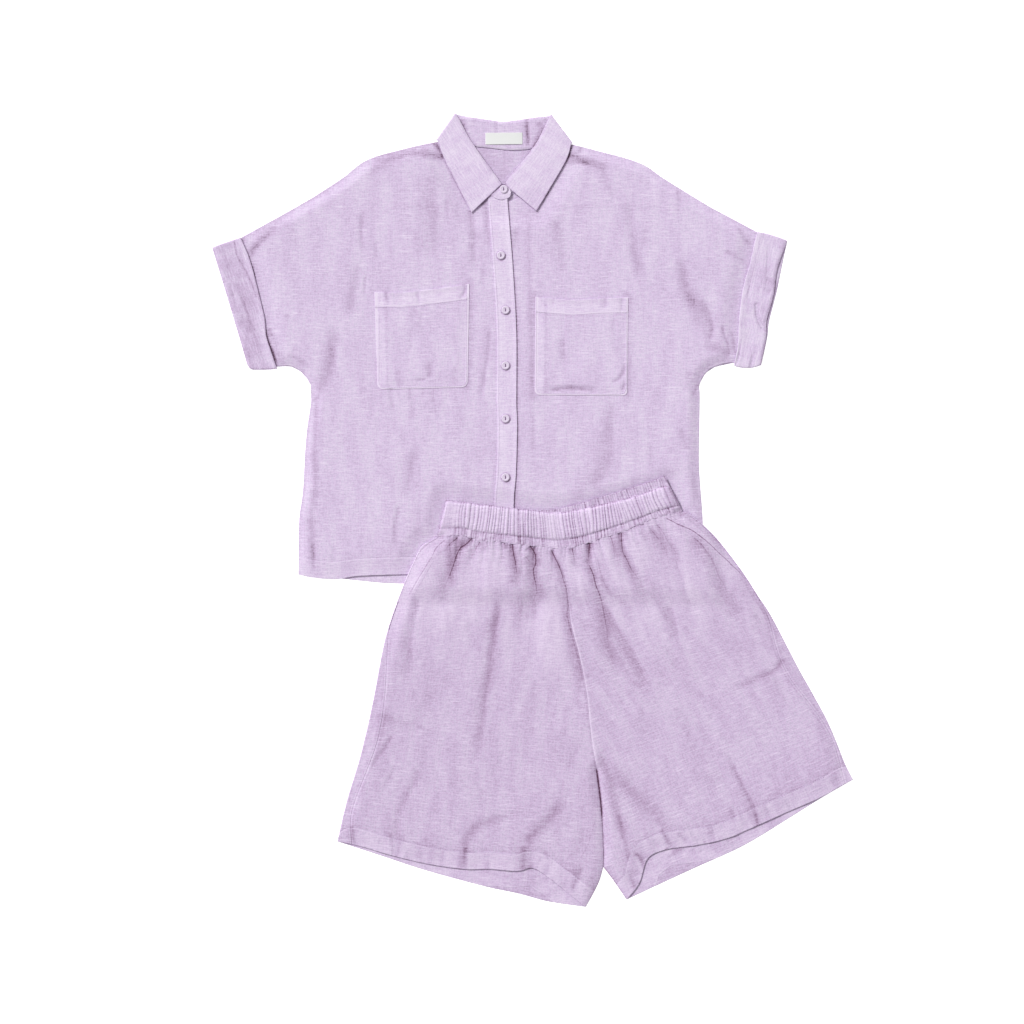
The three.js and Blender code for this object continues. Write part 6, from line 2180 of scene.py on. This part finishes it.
    def back(self, cut: Cut) -> Piece:
        """The band's back, whose gathered inside peeks out above the front.

        Args:
            cut: Its flat cut.

        Returns:
            The piece.
        """
        columns, rows = 540, 16
        u, v = stops(columns, self.length), stops(rows, 50.0)
        bottom, top = Edge.of(1, BAND_BOTTOM), Edge.of(1, BAND_TOP_BACK)
        flat = (1 - v[:, None, None]) * bottom(u)[None] + v[:, None, None] * top(u)[None]
        x, y = flat[..., 0], flat[..., 1]
        across, up = np.broadcast_to(u[None], x.shape), np.broadcast_to(v[:, None], x.shape)
        along = across * self.length
        main, lines = self._gathers(along + 1.5 * lumps(along, up * 50.0, (9, 12), 86), up, 9, (2.2, 4.4))
        rough = lumps(along, up * 50.0, (3.0, 3.4), 85)
        seen = smooth(up, 0.5, 0.75)
        z = self.shorts.ground(x, y) + 2.2 + (0.9 * main + 0.4 * rough) * seen + 1.5 * up
        edge = (1 - up) * 50.0
        # Tone: painted shade in the valley lines and along the top edge, and noise.
        tone = 0.25 - 1.5 * lines + 0.3 * rough - 0.35 * (1 - smooth(edge, 0.0, 1.5))
        grid = Cloth(self.shorts.ground).shape(np.stack([x, y, z], axis=-1))
        grid.tone[...] = tone
        return self.shorts.tailor.sew("waistband_back", [grid], 0.9, cut, ("shirt_back",))


# ---------------------------------------------------------------- finishes
@dataclass(frozen=True)
class Graph:
    """Adds nodes to a tree and links them."""

    tree: bpy.types.NodeTree

    def add(self, kind: str, *values: object, **settings: object) -> bpy.types.Node:
        """A node with its settings, and its inputs fed in order; None leaves one alone.

        Args:
            kind: The node's type.
            *values: Its inputs' values.
            **settings: Its settings.

        Returns:
            The node.
        """
        node = self.tree.nodes.new(kind)
        for name, value in settings.items():
            setattr(node, name, value)
        for socket, value in zip(node.inputs, values):
            self.feed(socket, value)
        return node

    def feed(self, socket: bpy.types.NodeSocket, value: object) -> None:
        """Links a socket's source, or sets its value.

        Args:
            socket: The socket.
            value: An output or a value.
        """
        if isinstance(value, bpy.types.NodeSocket):
            self.tree.links.new(value, socket)
        elif value is not None:
            socket.default_value = value

    def math(self, operation: str, *values: object, clamp: bool = False) -> object:
        """A Math node's result."""
        return self.add("ShaderNodeMath", *values, operation=operation, use_clamp=clamp).outputs[0]

    def sum(self, value: object, *more: object) -> object:
        """The sum of values."""
        return reduce(lambda a, b: self.math("ADD", a, b), more, value)

    def mix(self, factor: object, a: object, b: object) -> object:
        """The colour between a and b.

        Args:
            factor: The share of b.
            a: A colour.
            b: Another.

        Returns:
            The colour.
        """
        node = self.add("ShaderNodeMix", data_type="RGBA")
        for index, value in ((0, factor), (6, a), (7, b)):
            self.feed(node.inputs[index], value)
        return node.outputs[2]

    def ramp(self, value: object, low: float, high: float, start: float = 0.0, end: float = 1.0) -> object:
        """A value's smooth passage from start to end between low and high."""
        node = self.add("ShaderNodeMapRange", value, low, high, start, end, interpolation_type="SMOOTHSTEP")
        return node.outputs[0]

    def noise(self, vector: object, scale: tuple[float, float, float], detail: float = 2.0) -> object:
        """Noise from 0 to 1 over a vector stretched by scale.

        Args:
            vector: The place.
            scale: Cells over a unit.
            detail: Octaves.

        Returns:
            The noise.
        """
        stretched = self.add("ShaderNodeVectorMath", vector, scale, operation="MULTIPLY").outputs[0]
        node = self.add("ShaderNodeTexNoise", noise_dimensions="2D")
        self.feed(node.inputs["Vector"], stretched)
        self.feed(node.inputs["Scale"], 1.0)
        self.feed(node.inputs["Detail"], detail)
        return node.outputs[0]


def srgb(red: float, green: float, blue: float) -> tuple[float, float, float, float]:
    """A display colour from 0 to 255 as linear values."""
    linear = [((c / 255 + 0.055) / 1.055) ** 2.4 if c > 10 else c / 255 / 12.92 for c in (red, green, blue)]
    return (*linear, 1.0)


def weave_group() -> bpy.types.ShaderNodeTree:
    """The node group of a slubby plain weave.

    Its inputs are the grain in metres, the edges in millimetres, the tone, the thin lines and six colours:
    the tone runs from 1 for pale over 0 for the base to -1 for deep and -2 for the darkest colour; much of it
    is painted shade in folds, gaps and at rims, with some painted light at edges. Its outputs are the colour,
    a height in millimetres and the roughness.

    Returns:
        The group.
    """
    group = bpy.data.node_groups.new("slubby weave", "ShaderNodeTree")
    vectors, shades = ("Grain", "Edges", "Line"), ("Base", "Warm", "Grey", "Pale", "Deep", "Crevice_shade")
    kinds = {**dict.fromkeys(vectors, "Vector"), "Tone": "Float", **dict.fromkeys(shades, "Color")}
    for name, kind in kinds.items():
        group.interface.new_socket(name, in_out="INPUT", socket_type="NodeSocket" + kind)
    for name, kind in (("Colour", "Color"), ("Height", "Float"), ("Roughness", "Float")):
        group.interface.new_socket(name, in_out="OUTPUT", socket_type="NodeSocket" + kind)
    graph = Graph(group)
    given = graph.add("NodeGroupInput")
    grain = graph.add("ShaderNodeVectorMath", given.outputs["Grain"], (1000.0, 1000.0, 1000.0),
                      operation="MULTIPLY").outputs[0]
    parts = graph.add("ShaderNodeSeparateXYZ", given.outputs["Edges"])
    doubled, seam = parts.outputs[0], parts.outputs[1]

    slubs = graph.ramp(graph.noise(grain, (0.035, 0.66, 1.0), 1.0), 0.60, 0.76)
    weft = graph.noise(grain, (0.10, 0.55, 1.0), 1.0)
    warp = graph.noise(grain, (0.6, 0.05, 1.0), 1.0)
    fine = graph.noise(grain, (0.50, 0.50, 1.0), 2.0)
    bands = graph.noise(grain, (0.055, 0.014, 1.0), 2.0)
    hue = graph.noise(grain, (0.30, 0.42, 1.0), 2.0)

    # the thin lines take painted shade off the tone
    parts = graph.add("ShaderNodeSeparateXYZ", given.outputs["Line"])
    drawn = graph.ramp(graph.math("ABSOLUTE", parts.outputs[0]), 0.15, 1.0, 1.0, 0.0)
    light = graph.math("SUBTRACT", given.outputs["Tone"], graph.math("MULTIPLY", drawn, parts.outputs[1]))
    spreads = ((weft, 0.25, 0.23), (warp, 0.25, 0.12), (fine, 0.25, 0.27), (bands, 0.2, 0.16))
    for value, width, weight in spreads:
        light = graph.sum(light, graph.ramp(value, 0.5 - width, 0.5 + width, -weight, weight))
    beside_edge = graph.math("ABSOLUTE", graph.math("ADD", doubled, 0.9))
    light = graph.sum(light, graph.math("MULTIPLY", slubs, 0.6), graph.ramp(doubled, -0.5, 0.2, 0.16, 0.0),
                      graph.ramp(beside_edge, 0.3, 1.2, 0.3, 0.0), graph.ramp(seam, 0.2, 1.1, -0.22, 0.0))

    grey = graph.math("MULTIPLY", graph.ramp(bands, 0.42, 0.66), 0.35)
    shade = graph.mix(grey, given.outputs["Base"], given.outputs["Grey"])
    shade = graph.mix(graph.ramp(hue, 0.35, 0.65, 0.0, 0.55), shade, given.outputs["Warm"])
    colour = graph.mix(graph.math("MAXIMUM", light, 0.0, clamp=True), shade, given.outputs["Pale"])
    # below 0 the tone mixes towards the deep colour and then the darkest one, as painted shade
    dark = graph.math("MULTIPLY", light, -1.0)
    colour = graph.mix(graph.math("MAXIMUM", dark, 0.0, clamp=True), colour, given.outputs["Deep"])
    darkest = graph.math("SUBTRACT", dark, 1.0)
    colour = graph.mix(graph.math("MAXIMUM", darkest, 0.0, clamp=True), colour, given.outputs["Crevice_shade"])

    weights = ((slubs, 0.05), (fine, 0.10), (weft, 0.06))
    height = graph.sum(*(graph.math("MULTIPLY", value, weight) for value, weight in weights),
                       graph.ramp(doubled, -0.6, 0.6, 0.2, 0.0), graph.ramp(seam, 0.0, 1.4, -0.16, 0.0))
    rough = graph.math("MULTIPLY_ADD", fine, 0.1, 0.86)
    out = graph.add("NodeGroupOutput")
    for name, value in (("Colour", colour), ("Height", height), ("Roughness", rough)):
        graph.feed(out.inputs[name], value)
    return group


@dataclass(frozen=True)
class LinenFinish:
    """Lilac linen: a slubby weave between its shades."""

    name: str
    base: tuple[float, float, float]
    warm: tuple[float, float, float]
    grey: tuple[float, float, float]
    pale: tuple[float, float, float]
    # the last two colours are painted shade: for folds, then for gaps and rims
    deep: tuple[float, float, float]
    crevice_shade: tuple[float, float, float]

    def build(self, weave: bpy.types.ShaderNodeTree) -> Material:
        """The material on the shared weave.

        Args:
            weave: The weave group.

        Returns:
            The material.
        """
        material, graph, shader = blank(self.name)
        node = graph.add("ShaderNodeGroup", node_tree=weave)
        for name in ("grain", "edges", "line"):
            graph.feed(node.inputs[name.capitalize()], graph.add("ShaderNodeUVMap", uv_map=name).outputs[0])
        tone = graph.add("ShaderNodeAttribute", attribute_name="tone")
        graph.feed(node.inputs["Tone"], tone.outputs["Fac"])
        for shade in ("base", "warm", "grey", "pale", "deep", "crevice_shade"):
            graph.feed(node.inputs[shade.capitalize()], srgb(*getattr(self, shade)))
        bump = graph.add("ShaderNodeBump")
        graph.feed(bump.inputs["Strength"], 1.0)
        graph.feed(bump.inputs["Distance"], 0.001)
        graph.feed(bump.inputs["Height"], node.outputs["Height"])
        graph.feed(shader.inputs["Base Color"], node.outputs["Colour"])
        graph.feed(shader.inputs["Roughness"], node.outputs["Roughness"])
        graph.feed(shader.inputs["Normal"], bump.outputs[0])
        shader.inputs["Specular IOR Level"].default_value = 0.15
        return material


@dataclass(frozen=True)
class PlainFinish:
    """One colour with a sheen, for buttons, thread and the label."""

    name: str
    colour: tuple[float, float, float]
    roughness: float
    specular: float = 0.4

    def build(self) -> Material:
        """The material.

        Returns:
            The material.
        """
        material, _, shader = blank(self.name)
        shader.inputs["Base Color"].default_value = srgb(*self.colour)
        shader.inputs["Roughness"].default_value = self.roughness
        shader.inputs["Specular IOR Level"].default_value = self.specular
        return material


@dataclass(frozen=True)
class FloorFinish:
    """A white surface under even light, which glows a little so that it stays white."""

    glow: float = 0.7

    def build(self) -> Material:
        """The material.

        Returns:
            The material.
        """
        material, _, shader = blank("white surface")
        shader.inputs["Base Color"].default_value = (0.9, 0.9, 0.9, 1.0)
        shader.inputs["Roughness"].default_value = 1.0
        shader.inputs["Specular IOR Level"].default_value = 0.0
        shader.inputs["Emission Color"].default_value = (1.0, 1.0, 1.0, 1.0)
        shader.inputs["Emission Strength"].default_value = self.glow
        return material


def blank(name: str) -> tuple[Material, Graph, bpy.types.Node]:
    """A new material with its graph and its Principled shader.

    Args:
        name: The material's name.

    Returns:
        The material, its graph and its shader.
    """
    material = bpy.data.materials.new(name)
    material.use_nodes = True
    shader = next(node for node in material.node_tree.nodes if node.type == "BSDF_PRINCIPLED")
    return material, Graph(material.node_tree), shader


# ---------------------------------------------------------------- the studio
@dataclass(frozen=True)
class Studio:
    """A white surface, a soft sun from the upper left, an even sky and a camera straight above."""

    centre: tuple[float, float] = (-0.02685, -0.00206)
    height: float = 3.143
    lens: float = 85.0
    sun: float = 2.96
    sun_angle: float = 15.0
    elevation: float = 38.0
    azimuth: float = 135.0
    sky: float = 0.42

    def build(self) -> None:
        """Makes them all."""
        plane = np.array([[-3, -3, 0], [3, -3, 0], [3, 3, 0], [-3, 3, 0]], float)
        floor = mesh_object("white_surface", plane, (np.array([[0, 1, 2, 3]]),), FloorFinish().build())

        lamp = bpy.data.lights.new("sun", "SUN")
        lamp.energy = self.sun
        lamp.angle = math.radians(self.sun_angle)
        sun = bpy.data.objects.new("sun", lamp)
        flat, level = math.radians(self.azimuth), math.radians(self.elevation)
        across = math.cos(level)
        towards = Vector((across * math.cos(flat), across * math.sin(flat), math.sin(level)))
        sun.rotation_euler = towards.to_track_quat("Z", "Y").to_euler()
        sun.location = towards * 2.0
        bpy.context.scene.collection.objects.link(sun)

        world = bpy.data.worlds.new("even sky")
        world.use_nodes = True
        sky = world.node_tree.nodes["Background"]
        sky.inputs["Color"].default_value = (1.0, 1.0, 1.0, 1.0)
        sky.inputs["Strength"].default_value = self.sky
        bpy.context.scene.world = world

        lens = bpy.data.cameras.new("camera")
        lens.lens = self.lens
        lens.sensor_width = 36.0
        camera = bpy.data.objects.new("camera", lens)
        camera.location = (*self.centre, self.height)
        bpy.context.scene.collection.objects.link(camera)
        scene = bpy.context.scene
        scene.camera = camera
        scene.view_settings.view_transform = "Standard"


# ---------------------------------------------------------------- the set
def sew_buttons(layout: Layout, shirt: Shirt, pearl: Material, thread: Material) -> None:
    """The six buttons on the placket, the first on the stand's tab, each with its thread.

    Args:
        layout: The garment's plane.
        shirt: What they are sewn on.
        pearl: The discs' finish.
        thread: The thread's.
    """
    button = Button()
    strands = Stitches(radius=0.2)
    for number, (x, y) in enumerate(BUTTON_PLACES, 1):
        seat = 4.0 if number == 1 else float(shirt.top(np.array([x]), np.array([y]))[0]) + 1.25
        points, faces = button.solid((x, y, seat))
        disc = mesh_object(f"button_{number}_disc", layout.place(points), faces, pearl)
        rest(disc, "button", f"button_{number}")
        for low, high in button.thread((x, y, seat)):
            strands.starts.append(low[None])
            strands.ends.append(high[None])
    points, faces = strands.mesh()
    rest(mesh_object("button_thread", layout.place(points), faces, thread), "button")


def stitch_shirt(layout: Layout, shirt: Shirt, thread: Material) -> None:
    """The shirt's topstitching: both edges of the placket, and round the pockets.

    Args:
        layout: The garment's plane.
        shirt: The shirt.
        thread: The finish.
    """
    stitches = Stitches()
    for dx in (-10.5, 10.5):
        line = curve(moved(PLACKET_LINE, dx))
        stitches.run(line, lambda x, y: shirt.top(x, y) + 1.1)
    for side in Side:
        left, right, *upper = POCKET[side]
        inset = ((left[0] + 1.6, upper[-1][1]), (left[0] + 1.6, left[1] + 8), (left[0] + 4, left[1] + 3.5),
                 (left[0] + 9, left[1] + 1.8), (right[0] - 9, right[1] + 1.8), (right[0] - 4, right[1] + 3.5),
                 (right[0] - 1.6, right[1] + 8), (right[0] - 1.6, upper[0][1]))
        stitches.run(np.asarray(inset, float), lambda x, y: shirt.top(x, y) + 0.76)
        band = tuple((x, y - 19.0) for x, y in upper[::-1])
        stitches.run(band, lambda x, y: shirt.top(x, y) + 1.35)
    points, faces = stitches.mesh()
    rest(mesh_object("shirt_topstitching", layout.place(points), faces, thread), "linen_shirt")


def stitch_shorts(layout: Layout, shorts: Shorts, thread: Material) -> None:
    """The stitching of the shorts' hems.

    Args:
        layout: The garment's plane.
        shorts: The shorts.
        thread: The finish.
    """
    stitches = Stitches()
    for side in Side:
        line = curve(LEG_HEM[side])
        along = unit(np.gradient(line, axis=0))
        inside = line + shorts.hem * np.stack([-along[:, 1], along[:, 0]], axis=-1)
        stitches.run(inside[4:-4], lambda x, y, side=side: shorts.top(side, x, y))
    points, faces = stitches.mesh()
    rest(mesh_object("shorts_topstitching", layout.place(points), faces, thread), "linen_shorts")


def main() -> None:
    """Builds the set and its studio."""
    logging.basicConfig(level=logging.INFO, format="%(message)s")
    low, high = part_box("button_3")
    x, y = 0.5 * (low[0] + high[0]), 0.5 * (low[1] + high[1]) - 357 * MM
    plane = Layout(x, y)
    turned_plane = Layout(x + SHORTS_AT[0] * MM, y + SHORTS_AT[1] * MM, SHORTS_TURN)

    weave = weave_group()
    # each linen's last two colours are painted shade for folds, gaps and rims
    linen = LinenFinish("linen, shirt", (215, 198, 227), (225, 199, 233), (211, 202, 222), (236, 222, 243),
                        (191, 168, 199), (108, 80, 104)).build(weave)
    shorts_linen = LinenFinish("linen, shorts", (206, 188, 218), (216, 188, 223), (202, 192, 213),
                               (230, 213, 238), (177, 151, 183), (104, 72, 98)).build(weave)
    satin = PlainFinish("satin label", (235, 236, 235), 0.5, 0.4).build()
    pearl = PlainFinish("pearl button", (226, 212, 233), 0.6, 0.2).build()
    thread = PlainFinish("lilac thread", (222, 204, 232), 0.8, 0.1).build()
    # the button thread's dark colour is painted shade for the buttons' holes
    dark = PlainFinish("button thread with painted hole shade", (128, 98, 138), 0.8, 0.1).build()
    Studio().build()

    shirt = Shirt(Tailor(plane, "linen_shirt", linen))
    shirt.back(Cut(0.70, 0.50, 0.28))
    shirt.yoke(Cut(0.54, 0.08, 0.03))
    for side in Side:
        shirt.front(side, Cut(0.38, 0.57, 0.17))
        shirt.pocket(side, Cut(0.12, 0.13))
        shirt.cuff(side, Cut(0.35, 0.036))
    shirt.placket(Cut(0.026, 0.487))
    shirt.stand(Cut(0.34, 0.033, 0.009))
    shirt.collar(Cut(0.40, 0.06, 0.017))
    shirt.label(satin, Cut(0.048, 0.015))
    sew_buttons(plane, shirt, pearl, dark)
    stitch_shirt(plane, shirt, thread)

    shorts = Shorts(Tailor(turned_plane, "linen_shorts", shorts_linen))
    band = WaistBand(shorts)
    for side in Side:
        shorts.back(side, Cut(0.33, 0.50, 0.14))
        shorts.front(side, Cut(0.30, 0.50, 0.11))
    band.back(Cut(0.33, 0.048))
    band.front(Cut(0.37, 0.052, held="gathered"))
    stitch_shorts(turned_plane, shorts, thread)


if __name__ == "__main__":
    main()
